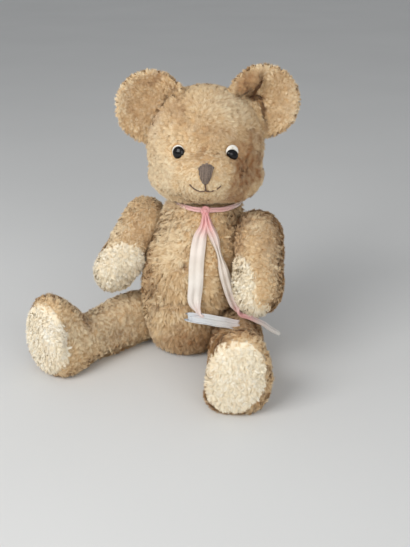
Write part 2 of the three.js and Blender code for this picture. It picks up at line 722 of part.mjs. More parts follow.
for (const [name, frame] of Object.entries(hips)) {
  const { side } = frame;
  const form = (grow) => legForm(side, grow);
  const ground = solidOf(carried(floor, bear, frame.limb));
  const { pad, seat } = letIn(form(0), solePadRegion(side, 0), solePadRegion(side, GAP),
    form(PAD_CLOTH), form(-PAD_CLOTH), form(-PAD_CLOTH - GAP));
  const leg = trimmedLimb(form(0), frame, HIP_DISC_RADIUS).subtract(seat).subtract(ground);
  addPiece(frame.limb, `${name}_leg`, leg, tanPlush());
  addPiece(frame.limb, `${name}_sole_pad`, pad.subtract(ground), creamPlush());
}

// A strip of ribbon through points, its width lying along `across` at each of them
function ribbonStrip(route) {
  const rows = route.length - 1;
  const strip = new THREE.BoxGeometry(RIBBON_WIDTH, RIBBON_THICKNESS, 1, 1, 1, rows);
  const place = strip.attributes.position;
  const p = new THREE.Vector3();
  for (let i = 0; i < place.count; i += 1) {
    p.fromBufferAttribute(place, i);
    const row = Math.round((p.z + 0.5) * rows);
    const { at, across } = route[row];
    const ahead = route[Math.min(row + 1, rows)].at.clone().sub(route[Math.max(row - 1, 0)].at);
    const aside = across.clone().projectOnPlane(ahead.normalize()).normalize();
    const out = new THREE.Vector3().crossVectors(ahead, aside);
    const spot = at.clone().addScaledVector(aside, p.x).addScaledVector(out, p.y);
    place.setXYZ(i, spot.x, spot.y, spot.z);
  }
  return solidOf(strip);
}

// The plush that the ribbon lies on, grown all over by `grow`
function plushUnderRibbon(grow) {
  let plush = torsoForm(grow);
  for (const frame of Object.values(hips)) {
    const thigh = geometryOf(legForm(frame.side, grow));
    plush = plush.add(solidOf(carried(thigh, frame.limb, bear)));
  }
  return plush;
}

// A point of the ribbon, moved out to the plush where it would lie inside it
function clearOf(plush, point, outward) {
  const start = point.clone().addScaledVector(outward, FAR);
  const [meeting] = new THREE.Raycaster(start, outward.clone().negate()).intersectObject(plush);
  return meeting && meeting.distance < FAR ? meeting.point : point;
}

// The collar lies in the crease under the head; the knot is under the chin. One tail falls to
// the lap and folds over the thigh, the other runs inside the left paw and over the left thigh.
function buildRibbon() {
  const collarRadius = NECK_RADIUS + COLLAR_THICKNESS / 2;
  const collar = new THREE.TorusGeometry(
    collarRadius, COLLAR_THICKNESS / 2, STRAND_SIDES, COLLAR_SIDES).translate(0, 0, -COLLAR_DROP);
  const knotOut = new THREE.Vector3(Math.sin(KNOT_TURN), -Math.cos(KNOT_TURN), 0)
    .multiplyScalar(collarRadius + KNOT_SIZE / 2).setZ(-COLLAR_DROP);
  const knot = new THREE.SphereGeometry(KNOT_SIZE, ROUND_SIDES, ROUND_SIDES / 2)
    .translate(...knotOut.toArray());

  const plush = new THREE.Mesh(geometryOf(plushUnderRibbon(GAP + RIBBON_THICKNESS)));
  const sideways = new THREE.Vector3(Math.cos(KNOT_TURN), Math.sin(KNOT_TURN), 0);
  const foldLine = new THREE.Vector3(...FOLD_LINE);
  const draped = (points, outward, across) => points.map((point) => (
    { at: clearOf(plush, new THREE.Vector3(...point), outward), across }));
  const front = new THREE.Vector3(0, -1, 0);
  const up = new THREE.Vector3(0, 0, 1);
  const knotted = { at: knotOut.clone().add(neck.position), across: sideways };
  const routes = [
    [knotted, ...draped(LAP_TAIL, front, sideways)],
    draped(LAP_FOLD, up, foldLine),
    [knotted, ...draped(PAW_TAIL, front, sideways), ...draped(THIGH_TAIL, up, foldLine)],
  ];
  let ribbon = solidOf(carried(collar, neck, bear)).add(solidOf(carried(knot, neck, bear)));
  for (const route of routes) ribbon = ribbon.add(ribbonStrip(route));
  return ribbon.subtract(plushUnderRibbon(GAP));
}

addPiece(bear, 'neck_ribbon', buildRibbon(), satin());

export default bear;
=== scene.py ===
"""Looks of the threadbare teddy bear: stuffed covers, matted pile, pads, face, ribbon."""

import math

import bpy
import numpy as np
from mathutils import Matrix, Vector
from mathutils.bvhtree import BVHTree
from mathutils.kdtree import KDTree


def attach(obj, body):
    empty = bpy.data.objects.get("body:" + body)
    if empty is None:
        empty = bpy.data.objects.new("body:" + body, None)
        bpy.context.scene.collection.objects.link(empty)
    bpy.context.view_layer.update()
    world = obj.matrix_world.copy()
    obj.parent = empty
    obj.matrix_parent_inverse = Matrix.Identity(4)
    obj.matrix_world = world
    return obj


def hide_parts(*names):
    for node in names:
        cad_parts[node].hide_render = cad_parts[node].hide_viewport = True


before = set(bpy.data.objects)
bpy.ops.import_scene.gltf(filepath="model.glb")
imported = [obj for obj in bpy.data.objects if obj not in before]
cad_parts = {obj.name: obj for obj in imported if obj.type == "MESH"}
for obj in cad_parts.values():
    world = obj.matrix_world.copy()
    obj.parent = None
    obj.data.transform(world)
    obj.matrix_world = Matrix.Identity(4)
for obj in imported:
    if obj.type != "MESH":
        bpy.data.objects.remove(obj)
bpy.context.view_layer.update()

MM = 0.001
SIDES = {"left": 1, "right": -1}


# Frames, repeated from the CAD model: millimetres and degrees
def turn(axis, degrees):
    return Matrix.Rotation(math.radians(degrees), 4, axis)


def move(x, y, z):
    return Matrix.Translation(Vector((x, y, z)) * MM)


def placed(where, points):
    """Points in millimetres of a frame, as metres of the whole bear."""
    grid = np.array(where)
    return (np.asarray(points, float) * MM) @ grid[:3, :3].T + grid[:3, 3]


def unplaced(where, points):
    """Metres of the whole bear as millimetres of a frame."""
    grid = np.array(where.inverted())
    return (np.asarray(points, float) @ grid[:3, :3].T + grid[:3, 3]) / MM


NECK = (14.085, 14.347, 149.0)
HEAD_TURN = 20.5
HEAD_LIFT = 50
HEAD_NOD = -3
HEAD_HALF_SIZE = (52.5, 54, 54)
SHOULDER = (10.871, 11.073, 115)
SHOULDER_SPREAD = 41
ARM_TILT = 22
ARM_SWING = {"left": 43, "right": 30}
HIP = (32, -10, 26.76)
LEG_SPLAY = {"left": 17, "right": 23}
LEG_ROLL = 12
LEG_SWING = 90
head_frame = move(*NECK) @ turn("Z", HEAD_TURN) @ move(0, 0, HEAD_LIFT) @ turn("X", HEAD_NOD)
arm_frame, leg_frame = {}, {}
for name, side in SIDES.items():
    shoulder = move(SHOULDER[0] + side * SHOULDER_SPREAD, *SHOULDER[1:])
    arm_frame[name] = shoulder @ turn("Y", -side * ARM_TILT) @ turn("X", -ARM_SWING[name])
    hip = move(side * HIP[0], *HIP[1:])
    splayed = hip @ turn("Z", side * LEG_SPLAY[name])
    leg_frame[name] = splayed @ turn("Y", side * LEG_ROLL) @ turn("X", -LEG_SWING)
SEAT_RISE = 0.001
PRESSED_PILE = (0.0002, 0.0009)
ARM_MIDDLE = 17.0
LEG_MIDDLE = 20.5

# Camera at the photo's angle
EYE_POINT = Vector((0.2815, -0.7015, 0.3952))
AIM_POINT = Vector((0.00749, 0.0314, 0.06311))
LENS = 55.9
PHOTO_SIZE = (410, 547)

camera = bpy.data.objects.new("camera", bpy.data.cameras.new("camera"))
bpy.context.scene.collection.objects.link(camera)
camera.location = EYE_POINT
camera.rotation_mode = "QUATERNION"
camera.rotation_quaternion = (AIM_POINT - EYE_POINT).to_track_quat("-Z", "Y")
camera.data.lens = LENS
camera.data.clip_start = 0.01
camera.data.clip_end = 50
bpy.context.scene.camera = camera

ahead = np.array((AIM_POINT - EYE_POINT).normalized())
aside = np.cross(ahead, (0, 0, 1))
aside /= np.linalg.norm(aside)
upward = np.cross(aside, ahead)


def seen(points):
    """Where points show in the photo, in its pixels."""
    away = points - np.array(EYE_POINT)
    scale = LENS / 36 * PHOTO_SIZE[1] / (away @ ahead)
    across = PHOTO_SIZE[0] / 2 + (away @ aside) * scale
    down = PHOTO_SIZE[1] / 2 - (away @ upward) * scale
    return across, down


def unit(vectors):
    return vectors / np.maximum(np.linalg.norm(vectors, axis=-1, keepdims=True), 1e-9)


def smooth_step(low, high, value):
    t = np.clip((value - low) / (high - low), 0, 1)
    return t * t * (3 - 2 * t)


def ripple(points, size, seed):
    """Smooth irregular values about zero, with features of a size in metres."""
    draw = np.random.default_rng(seed)
    total = np.zeros(len(points))
    for _ in range(7):
        way = unit(draw.normal(size=3)) * draw.uniform(0.6, 1.5) * math.pi / size
        total += np.cos(points @ way + draw.uniform(0, 2 * math.pi))
    return total / 3.0


def swirl(points, size, seed):
    """Irregular ways, smooth over a size in metres."""
    return np.stack([ripple(points, size, seed + k) for k in range(3)], -1)


def finder_of(points):
    finder = KDTree(len(points))
    for i, point in enumerate(points):
        finder.insert(point, i)
    finder.balance()
    return finder


def smooth_line(points, count):
    """A smooth line through points, evenly stepped in its own count of places."""
    points = np.asarray(points, float)
    ends = np.concatenate([[2 * points[0] - points[1]], points, [2 * points[-1] - points[-2]]])
    at = np.linspace(0, len(points) - 1 - 1e-9, count)
    i = at.astype(int)
    t = (at - i).reshape((-1,) + (1,) * (points.ndim - 1))
    a, b, c, d = (ends[i + k] for k in range(4))
    bend, twist = 2 * a - 5 * b + 4 * c - d, 3 * b - a - 3 * c + d
    return 0.5 * (2 * b + (c - a) * t + bend * t ** 2 + twist * t ** 3)


def patches(points, normals, spots):
    """Soft patches where the photo shows them, on what faces the camera.
    A spot is its middle and half sizes in photo pixels, its turn and its strength."""
    across, down = seen(points)
    toward = unit(np.array(EYE_POINT) - points)
    facing = smooth_step(-0.25, 0.2, np.sum(normals * toward, axis=-1))
    total = np.zeros(len(points))
    wobble = 0.25 * ripple(points, 0.009, 11)
    for x, y, wide, high, angle, strength in spots.values():
        c, s = math.cos(math.radians(angle)), math.sin(math.radians(angle))
        u = (c * (across - x) + s * (down - y)) / wide
        v = (c * (down - y) - s * (across - x)) / high
        total = np.maximum(total, strength * smooth_step(1.25, 0.35, np.hypot(u, v) + wobble))
    return total * facing


# Brown patches: stains, and painted shade in the creases between the eyes, in the belly pinch and belly
# crease, in the right ear's slit, and under the left ear's flap and in its crease.
BROWN_SPOTS = {
    "left cheek": (244, 168, 18, 32, 8, 1.0),
    "left jaw": (238, 193, 13, 9, 0, 0.9),
    "left temple": (250, 140, 10, 14, 0, 0.7),
    "forehead": (180, 112, 13, 16, 0, 0.5),
    "brow": (210, 131, 30, 9, 5, 0.35),
    # Painted shade in the crease between the eyes.
    "between the eyes": (204, 149, 4, 4, 0, 0.9),
    "right ear": (148, 108, 26, 30, 20, 0.38),
    "right ear top": (150, 82, 24, 8, -20, 0.6),
    "right ear hollow": (137, 108, 9, 22, 20, 0.3),
    # Painted shade in the slit of the right ear's seam.
    "right ear slit": (172, 92, 5, 2.5, -20, 1.0),
    "left ear": (280, 100, 16, 30, 0, 0.3),
    "left ear flap": (250, 84, 11, 12, 0, 0.85),
    # Painted shade under the left ear's flap and in its crease.
    "under the flap": (257, 97, 8, 3.5, 15, 1.0),
    "left ear crease": (263, 112, 4, 18, -12, 1.0),
    # Painted shade in the belly pinch and along the belly crease.
    "belly pinch": (182, 268, 7, 5, 0, 1.0),
    "belly crease": (180, 305, 32, 5, 0, 0.3),
    "chest by the left arm": (237, 245, 12, 40, 5, 0.5),
    "belly by the left paw": (225, 305, 20, 20, 0, 0.35),
    "low belly": (200, 338, 44, 18, 0, 0.7),
    "right flank": (150, 260, 6, 50, 0, 0.4),
    "right arm": (138, 228, 12, 22, 30, 0.3),
    "left arm": (266, 238, 10, 22, 0, 0.25),
    "right ankle": (86, 322, 7, 13, -25, 0.55),
    "right shin": (120, 335, 20, 6, -12, 0.3),
    "left foot's side": (209, 372, 7, 32, 10, 0.5),
    "left thigh": (236, 332, 26, 6, 0, 0.4),
}
# Pale patches: worn pile, and painted light on the right leg and shin.
PALE_SPOTS = {
    "right cheek": (165, 168, 16, 38, 0, 0.7),
    "right temple": (158, 122, 8, 22, 0, 0.7),
    "muzzle": (203, 182, 32, 18, 0, 0.6),
    "crown": (226, 108, 26, 18, 0, 0.6),
    "right ear rim": (124, 100, 7, 32, 25, 0.7),
    "right ear top": (150, 74, 14, 5, -12, 0.6),
    "left ear rim": (292, 105, 9, 30, 0, 0.6),
    "left ear top": (270, 68, 18, 6, 0, 0.6),
    "chest": (175, 235, 22, 42, 0, 0.55),
    "right arm": (118, 230, 9, 20, 30, 0.7),
    "left shoulder": (258, 225, 16, 12, 0, 0.6),
    "left arm": (272, 262, 9, 24, 0, 0.5),
    # Painted light brightens the right leg's top; on the shin it lies over a ridge that is really worn pale.
    "right leg": (105, 325, 64, 28, -14, 0.95),
    "right shin": (108, 313, 34, 8, -14, 0.9),
    "right toe": (66, 300, 16, 8, -10, 0.6),
    "left instep": (246, 345, 18, 5, 0, 0.5),
}
BALD_SPOTS = {
    "chin": (205, 196, 9, 5, 0, 1.0),
    "under the chin": (207, 209, 12, 4, 0, 0.6),
    "belly pinch": (182, 266, 6, 4, 0, 0.7),
    "right shin": (108, 313, 24, 2.5, -14, 0.8),
}

# Creases and folds: the last number is the depth or height in millimetres
CREASES = {
    "between the eyes": (204, 149, 3, 5, 0, 2.5),
    "left temple": (250, 132, 9, 1.8, -36, 2.5),
    "muzzle seam": (181, 190, 11, 1.5, 78, 2.5),
    "right ear seam": (160, 110, 27, 2.2, 121, 3.0),
    "left ear": (263, 112, 19, 3, 72, 5.0),
    "under the flap": (257, 98, 9, 3, 10, 5.0),
    "belly pinch": (182, 268, 6, 5, 0, 4.5),
    "belly": (180, 304, 34, 2.5, 0, 3.0),
    "right ankle": (86, 318, 14, 3.5, 60, 3.0),
}
FOLDS = {
    "left ear flap": (249, 84, 13, 11, -30, 7.0),
    "right ear inner edge": (168, 112, 26, 5, 121, 5.0),
}


# Brown patches are stains and painted shade in creases; pale patches are worn pile and painted light on the
# right leg.
def stains_and_painted_light(points, normals):
    return {"brown": patches(points, normals, BROWN_SPOTS), "pale": patches(points, normals, PALE_SPOTS)}


# Meshes
def new_object(name, points, faces, material, body, attributes=None, normals=None, cells=None):
    """A mesh piece from arrays: faces is a list of arrays of equal-sided polygons."""
    mesh = bpy.data.meshes.new(name)
    mesh.vertices.add(len(points))
    mesh.vertices.foreach_set("co", np.asarray(points, np.float32).ravel())
    corners = np.concatenate([np.asarray(f, np.int32).ravel() for f in faces])
    counts = np.concatenate([np.full(len(f), np.shape(f)[1], np.int32) for f in faces])
    mesh.loops.add(len(corners))
    mesh.loops.foreach_set("vertex_index", corners)
    mesh.polygons.add(len(counts))
    mesh.polygons.foreach_set("loop_start", np.concatenate([[0], np.cumsum(counts)[:-1]]).astype(np.int32))
    mesh.polygons.foreach_set("loop_total", counts)
    mesh.update(calc_edges=True)
    mesh.polygons.foreach_set("use_smooth", np.ones(len(counts), bool))
    for key, values in (attributes or {}).items():
        layer = mesh.attributes.new(key, "FLOAT", "POINT")
        layer.data.foreach_set("value", np.asarray(values, np.float32))
    if cells is not None:
        layer = mesh.uv_layers.new(name="OFBake")
        layer.data.foreach_set("uv", np.asarray(cells, np.float32)[corners].ravel())
    if normals is not None:
        mesh.normals_split_custom_set_from_vertices(np.asarray(normals, np.float32))
    mesh.materials.append(material)
    piece = bpy.data.objects.new(name, mesh)
    bpy.context.scene.collection.objects.link(piece)
    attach(piece, body)
    return piece


def tree_of(*names):
    corners, polygons = [], []
    for name in names:
        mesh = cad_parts[name].data
        start = len(corners)
        corners += [v.co.copy() for v in mesh.vertices]
        polygons += [[start + i for i in p.vertices] for p in mesh.polygons]
    return BVHTree.FromPolygons(corners, polygons)


def ring_faces(rows, columns):
    """Faces of rings of points, closed by two last points that are the ends."""
    index = np.arange(rows * columns).reshape(rows, columns)
    nxt = np.roll(index, -1, 1)
    quads = np.stack([index[:-1], nxt[:-1], nxt[1:], index[1:]], -1).reshape(-1, 4)
    low, high = np.full(columns, rows * columns), np.full(columns, rows * columns + 1)
    return [quads, np.concatenate([np.stack([nxt[0], index[0], low], -1),
                                   np.stack([index[-1], nxt[-1], high], -1)])]


class Cover:
    """A closed skin on a grid of rows and columns, with a pole at each end."""

    def __init__(self, grid, ends):
        self.grid, self.ends = grid, np.array(ends)

    def relax(self, rounds):
        for _ in range(rounds):
            g = self.grid
            below = np.concatenate([np.broadcast_to(self.ends[0], g[:1].shape), g[:-1]])
            above = np.concatenate([g[1:], np.broadcast_to(self.ends[1], g[:1].shape)])
            near = (below + above + np.roll(g, 1, 1) + np.roll(g, -1, 1)) / 4
            self.grid = g + 0.6 * (near - g)
            self.ends = np.array([self.grid[0].mean(0), self.grid[-1].mean(0)])

    def points(self):
        return np.concatenate([self.grid.reshape(-1, 3), self.ends])

    def normals(self):
        g = self.grid
        up = np.concatenate([g[1:], g[-1:]]) - np.concatenate([g[:1], g[:-1]])
        around = np.roll(g, -1, 1) - np.roll(g, 1, 1)
        out = unit(np.cross(around, up)).reshape(-1, 3)
        columns = g.shape[1]
        return np.concatenate([out, unit(out[:columns].mean(0))[None], unit(out[-columns:].mean(0))[None]])

    def set_points(self, moved):
        self.grid = moved[:-2].reshape(self.grid.shape)
        self.ends = moved[-2:]

    def push(self, amount):
        """Moves each point along its normal, in metres."""
        self.set_points(self.points() + self.normals() * amount[:, None])

    def faces(self):
        return ring_faces(*self.grid.shape[:2])

    def skin(self):
        """Points, normals and triangles."""
        quads, triangles = self.faces()
        triangles = np.concatenate([quads[:, [0, 1, 2]], quads[:, [0, 2, 3]], triangles])
        return self.points(), self.normals(), triangles


LAST_CAP_RISE = -4
CAST_REACH = 0.3


def cast(tree, middle, way):
    """Where a ray from outside, towards a middle, first meets the solids."""
    way = Vector(way).normalized()
    start = Vector(middle) + way * CAST_REACH
    hit = tree.ray_cast(start, -way, CAST_REACH)[0]
    return np.array(hit if hit is not None else Vector(middle) + way * 0.002)


def cast_cover(tree, spine, where, rows, columns):
    """A cover cast onto solids from a spine, with a round cap of rows past each of its ends."""
    spine = placed(where, spine)
    basis = np.array(where)[:3, :3]
    side, front, top = basis[:, 0], basis[:, 1], basis[:, 2]
    cap = rows // 5
    along = np.concatenate([np.zeros(cap), np.linspace(0, 1, rows - 2 * cap), np.ones(cap)])
    low_cap = np.append(np.linspace(-90, 0, cap + 1)[1:-1], LAST_CAP_RISE)
    rise = np.concatenate([low_cap, np.zeros(rows - 2 * cap), np.linspace(0, 90, cap + 2)[1:-1]])
    steps = np.linspace(0, 1, len(spine))
    grid = np.zeros((rows, columns, 3))
    for i in range(rows):
        middle = np.array([np.interp(along[i], steps, spine[:, k]) for k in range(3)])
        lift = math.radians(rise[i])
        for j in range(columns):
            angle = 2 * math.pi * j / columns
            way = math.cos(lift) * (math.cos(angle) * side + math.sin(angle) * front)
            grid[i, j] = cast(tree, middle, way + math.sin(lift) * top)
    return Cover(grid, [cast(tree, spine[0], -top + 0.02 * side), cast(tree, spine[-1], top + 0.02 * side)])


POLE_CELLS = [[0.5, 0.01], [0.5, 0.99]]


def bake_cells(rows, columns, right=0.98):
    """Bake cells of a grid: rows up, columns across."""
    v, u = np.meshgrid(np.linspace(0.02, 0.98, rows), np.linspace(0.02, right, columns), indexing="ij")
    return np.stack([u.ravel(), v.ravel()], -1)


# Materials
def srgb(r, g, b):
    def linear(c):
        c /= 255
        return c / 12.92 if c <= 0.04045 else ((c + 0.055) / 1.055) ** 2.4
    return (linear(r), linear(g), linear(b), 1)


class Nodes:
    """Short calls for building a node tree."""

    def __init__(self, tree):
        self.tree = tree

    def add(self, kind, **settings):
        node = self.tree.nodes.new(kind)
        for key, value in settings.items():
            setattr(node, key, value)
        return node

    def link(self, given, into):
        """Links an output, or sets a plain value."""
        if isinstance(given, (int, float, tuple)):
            into.default_value = given
        else:
            self.tree.links.new(given, into)

    def value(self, key):
        return self.add("ShaderNodeAttribute", attribute_name=key).outputs["Fac"]

    def noise(self, scale, detail):
        node = self.add("ShaderNodeTexNoise")
        self.link(scale, node.inputs["Scale"])
        self.link(detail, node.inputs["Detail"])
        self.link(self.add("ShaderNodeTexCoord").outputs["Object"], node.inputs["Vector"])
        return node.outputs["Fac"]

    def spread(self, value, low, high, to_low=0.0, to_high=1.0):
        node = self.add("ShaderNodeMapRange", interpolation_type="SMOOTHSTEP")
        slots = ("Value", "From Min", "From Max", "To Min", "To Max")
        for slot, given in zip(slots, (value, low, high, to_low, to_high)):
            self.link(given, node.inputs[slot])
        return node.outputs["Result"]

    def sum(self, operation, a, b):
        node = self.add("ShaderNodeMath", operation=operation, use_clamp=operation == "ADD")
        for slot, given in zip(node.inputs, (a, b)):
            self.link(given, slot)
        return node.outputs["Value"]

    def bump(self, height, strength, distance):
        node = self.add("ShaderNodeBump")
        for slot, given in (("Height", height), ("Strength", strength), ("Distance", distance)):
            self.link(given, node.inputs[slot])
        return node.outputs["Normal"]

    def mix(self, share, a, b):
        node = self.add("ShaderNodeMix", data_type="RGBA")
        slots = {socket.identifier: socket for socket in node.inputs}
        for key, given in (("Factor_Float", share), ("A_Color", a), ("B_Color", b)):
            self.link(given, slots[key])
        return next(socket for socket in node.outputs if socket.identifier == "Result_Color")


def pile_group():
    """Colour of matted pile: painted shade darker at the roots, a painted sheen paler at the tips, stained
    and worn in places, with painted shade in some creases and painted light on the right leg.
    """
    tree = bpy.data.node_groups.new("Matted pile", "ShaderNodeTree")
    for key in ("Main", "Pale", "Brown", "Root_shade"):
        tree.interface.new_socket(key, in_out="INPUT", socket_type="NodeSocketColor")
    tree.interface.new_socket("Colour", in_out="OUTPUT", socket_type="NodeSocketColor")
    n = Nodes(tree)
    given, out = n.add("NodeGroupInput").outputs, n.add("NodeGroupOutput").inputs
    cloud = n.spread(n.noise(26, 3), 0.35, 0.7)
    fine = n.spread(n.noise(170, 2), 0.3, 0.75)
    tuft = n.value("tuft")
    paleness_and_tip_sheen = n.sum("ADD", n.sum("MULTIPLY", n.value("pale"), 0.6), n.spread(tuft, 0.35, 1.0, 0.0, 0.6))
    # Painted sheen: the paleness is strongest at the tips of the blades and weakest at the roots.
    paleness_and_tip_sheen = n.sum("MULTIPLY", paleness_and_tip_sheen, n.spread(n.value("pile_height"), 0.1, 0.9, 0.35, 1.0))
    dirt = n.sum("ADD", n.sum("MULTIPLY", cloud, 0.16), n.spread(tuft, 0.0, 0.5, 0.3, 0.0))
    body = n.mix(dirt, given["Main"], given["Brown"])
    body = n.mix(paleness_and_tip_sheen, body, given["Pale"])
    stain = n.sum("MULTIPLY", n.value("brown"), n.spread(fine, 0.0, 1.0, 0.55, 1.0))
    body = n.mix(stain, body, given["Brown"])
    # Painted shade: the colour darkens towards the roots of the blades, where the pile shades itself.
    depth = n.spread(n.value("pile_height"), 0.0, 0.55, 0.75, 0.0)
    n.link(n.mix(depth, body, given["Root_shade"]), out["Colour"])
    return n.tree


def surface(name, roughness, sheen=0.0, shine=0.3):
    material = bpy.data.materials.new(name)
    material.use_nodes = True
    n = Nodes(material.node_tree)
    shader = material.node_tree.nodes["Principled BSDF"]
    settings = {"Roughness": roughness, "Specular IOR Level": shine,
                "Sheen Weight": sheen, "Sheen Roughness": 0.6}
    for key, value in settings.items():
        n.link(value, shader.inputs[key])
    return material, n, shader


matted_pile = pile_group()


def pile_material(name, main, pale, brown, root):
    material, n, shader = surface(name, 0.85, sheen=0.15, shine=0.2)
    colour = n.add("ShaderNodeGroup", node_tree=matted_pile)
    for key, value in (("Main", main), ("Pale", pale), ("Brown", brown), ("Root_shade", root)):
        colour.inputs[key].default_value = value
    n.link(colour.outputs["Colour"], shader.inputs["Base Color"])
    return material


def cloth_material(name, main, dark, pale):
    """The woven backing under the pile."""
    material, n, shader = surface(name, 0.95, sheen=0.1, shine=0.1)
    cloud = n.spread(n.noise(60, 4), 0.3, 0.7)
    body = n.mix(cloud, main, dark)
    body = n.mix(n.sum("MULTIPLY", n.value("pale"), 0.6), body, pale)
    body = n.mix(n.sum("MULTIPLY", n.value("brown"), 0.7), body, dark)
    n.link(body, shader.inputs["Base Color"])
    n.link(n.bump(n.noise(1400, 2), 0.4, 0.0004), shader.inputs["Normal"])
    return material


# The root colours are painted shade at the base of the pile.
tan_pile = pile_material("tan_pile", main=srgb(226, 196, 150), pale=srgb(248, 234, 202),
                         brown=srgb(158, 106, 60), root=srgb(206, 168, 120))
cream_pile = pile_material("cream_pile", main=srgb(247, 236, 210), pale=srgb(254, 250, 240),
                           brown=srgb(222, 192, 148), root=srgb(240, 224, 192))
tan_cloth = cloth_material("tan_cloth", main=srgb(206, 168, 120), dark=srgb(172, 128, 82),
                           pale=srgb(230, 210, 174))
cream_cloth = cloth_material("cream_cloth", main=srgb(240, 226, 196), dark=srgb(222, 200, 162),
                             pale=srgb(250, 242, 222))


# Pile
TUFT_SIZE = 18


def sown(draw, skin, count, weight, keep):
    """Places strewn over a skin of points, normals and triangles, with the ways out of it."""
    points, normals, triangles = skin
    a, b, c = (points[triangles[:, k]] for k in range(3))
    share = np.linalg.norm(np.cross(b - a, c - a), axis=1)
    if weight is not None:
        share = share * weight((a + b + c) / 3)
    pick = draw.choice(len(triangles), count, p=share / share.sum())
    u, v = draw.random(count), draw.random(count)
    flip = u + v > 1
    u[flip], v[flip] = 1 - u[flip], 1 - v[flip]
    root = a[pick] + u[:, None] * (b - a)[pick] + v[:, None] * (c - a)[pick]
    na, nb, nc = (normals[triangles[pick, k]] for k in range(3))
    out = unit(na + u[:, None] * (nb - na) + v[:, None] * (nc - na))
    if keep is None:
        return root, out
    chosen = keep(root, out)
    return root[chosen], out[chosen]


def blades(draw, root, out, length, flow, width, lean, tangle):
    """Corners, shading normals and tones of blades that gather in tufts."""
    count = len(root)
    heads = draw.choice(count, max(count // TUFT_SIZE, 1), replace=False)
    finder = finder_of(root[heads])
    tuft = np.array([finder.find(p)[1] for p in root])
    way = flow(root, out)
    way = way - out * np.sum(way * out, axis=1, keepdims=True)
    comb = unit(way + 0.4 * tangle * out)
    streak = sum(ripple(root + comb * step * MM, 0.0024, 71) for step in (-4, -2, 0, 2, 4)) / 5
    way = way + tangle * draw.normal(size=(len(heads), 3))[tuft] + 0.18 * draw.normal(size=(count, 3))
    way = unit(way - out * np.sum(way * out, axis=1, keepdims=True))
    reach = length(root, out) * MM * draw.uniform(0.75, 1.2, len(heads))[tuft]
    reach = (reach * draw.uniform(0.75, 1.1, count))[:, None]
    slope = np.clip(lean * draw.uniform(0.7, 1.25, len(heads))[tuft], 0, 1.25)[:, None]
    rise = unit(out + 1.1 * slope * way)
    fall = unit(out * np.clip(0.62 - 0.55 * slope, 0.02, 1) + slope * way)
    gather = root[heads][tuft] - root
    tip = root + (rise + fall) * reach * 0.5 + 0.45 * gather
    twist = 0.10 * out * draw.normal(size=(count, 1)) * reach
    across = unit(np.cross(tip - root, out) + twist)
    half = 0.5 * width * MM * draw.uniform(0.7, 1.25, (count, 1))
    corners = np.stack([root - across * half, root + across * half, tip], 1)
    corners[..., 2] = np.maximum(corners[..., 2], draw.uniform(*PRESSED_PILE, (count, 1)))
    flat = unit(np.cross(corners[:, 1] - corners[:, 0], tip - root))
    flat = flat * np.where(np.sum(flat * out, axis=1, keepdims=True) < 0, -1, 1)
    shade = unit(0.45 * out + 0.55 * flat + 0.15 * way * draw.uniform(-0.6, 1.4, (len(heads), 1))[tuft])
    tone = 0.5 * draw.random(len(heads))[tuft] + 0.5 * draw.random(count) + 0.55 * streak
    return corners, shade, tone


def grow_pile(name, body, material, seed, skin, count, length, flow, weight=None, keep=None,
              width=0.62, lean=0.75, tangle=0.55):
    """A piece of pile on a skin. length, in millimetres, flow and keep are functions of the sown
    places and their ways out, weight is one of the middles of triangles."""
    draw = np.random.default_rng(seed)
    root, out = sown(draw, skin, count, weight, keep)
    corners, shade, tone = blades(draw, root, out, length, flow, width, lean, tangle)
    order = np.arange(len(root))
    side = math.ceil(math.sqrt(len(root)))
    cell = np.stack([order % side, order // side], -1)[:, None, :]
    cells = ((cell + np.array([[0.1, 0.1], [0.9, 0.1], [0.5, 0.95]])) / side).reshape(-1, 2)
    attributes = {
        "pile_height": np.tile([0, 0, 1.0], len(root)),
        "tuft": np.repeat(np.clip(tone, 0, 1), 3),
        **{key: np.repeat(values, 3) for key, values in stains_and_painted_light(root, out).items()},
    }
    piece = new_object(name, corners.reshape(-1, 3), [order[:, None] * 3 + np.arange(3)], material, body,
                       attributes, np.repeat(shade, 3, 0), cells)


def thinning(root, out):
    return 1 - patches(root, out, BALD_SPOTS)


def down_flow(root, out):
    return np.array([0, 0, -1.0]) + 0.7 * swirl(root, 0.035, 21)


def along_flow(where):
    way = -np.array(where)[:3, 2]

    def flow(root, out):
        return 0.6 * way + 0.7 * swirl(root, 0.03, 31)
    return flow


COVER_ROUNDS = 7


def sewn_cover(name, body, cover, replaced):
    at, out = cover.points(), cover.normals()
    cells = np.concatenate([bake_cells(*cover.grid.shape[:2]), POLE_CELLS])
    piece = new_object(name, at, cover.faces(), tan_cloth, body, stains_and_painted_light(at, out), cells=cells)
    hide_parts(replaced)


def make_cover(name, body, nodes, spine, where, rows, columns, lumps, shape=None):
    """A lumpy cover over the solids of some nodes, in place of the first of them."""
    cover = cast_cover(tree_of(*nodes), spine, where, rows, columns)
    cover.relax(COVER_ROUNDS)
    at = cover.points()
    cover.push(lumps * MM * (ripple(at, 0.03, len(name)) + 0.5 * ripple(at, 0.013, 3)))
    if shape is not None:
        cover.set_points(placed(where, shape(unplaced(where, cover.points()))))
    cover.push(-MM * patches(cover.points(), cover.normals(), CREASES))
    cover.set_points(np.maximum(cover.points(), (-1, -1, SEAT_RISE)))
    sewn_cover(name, body, cover, nodes[0])
    return cover


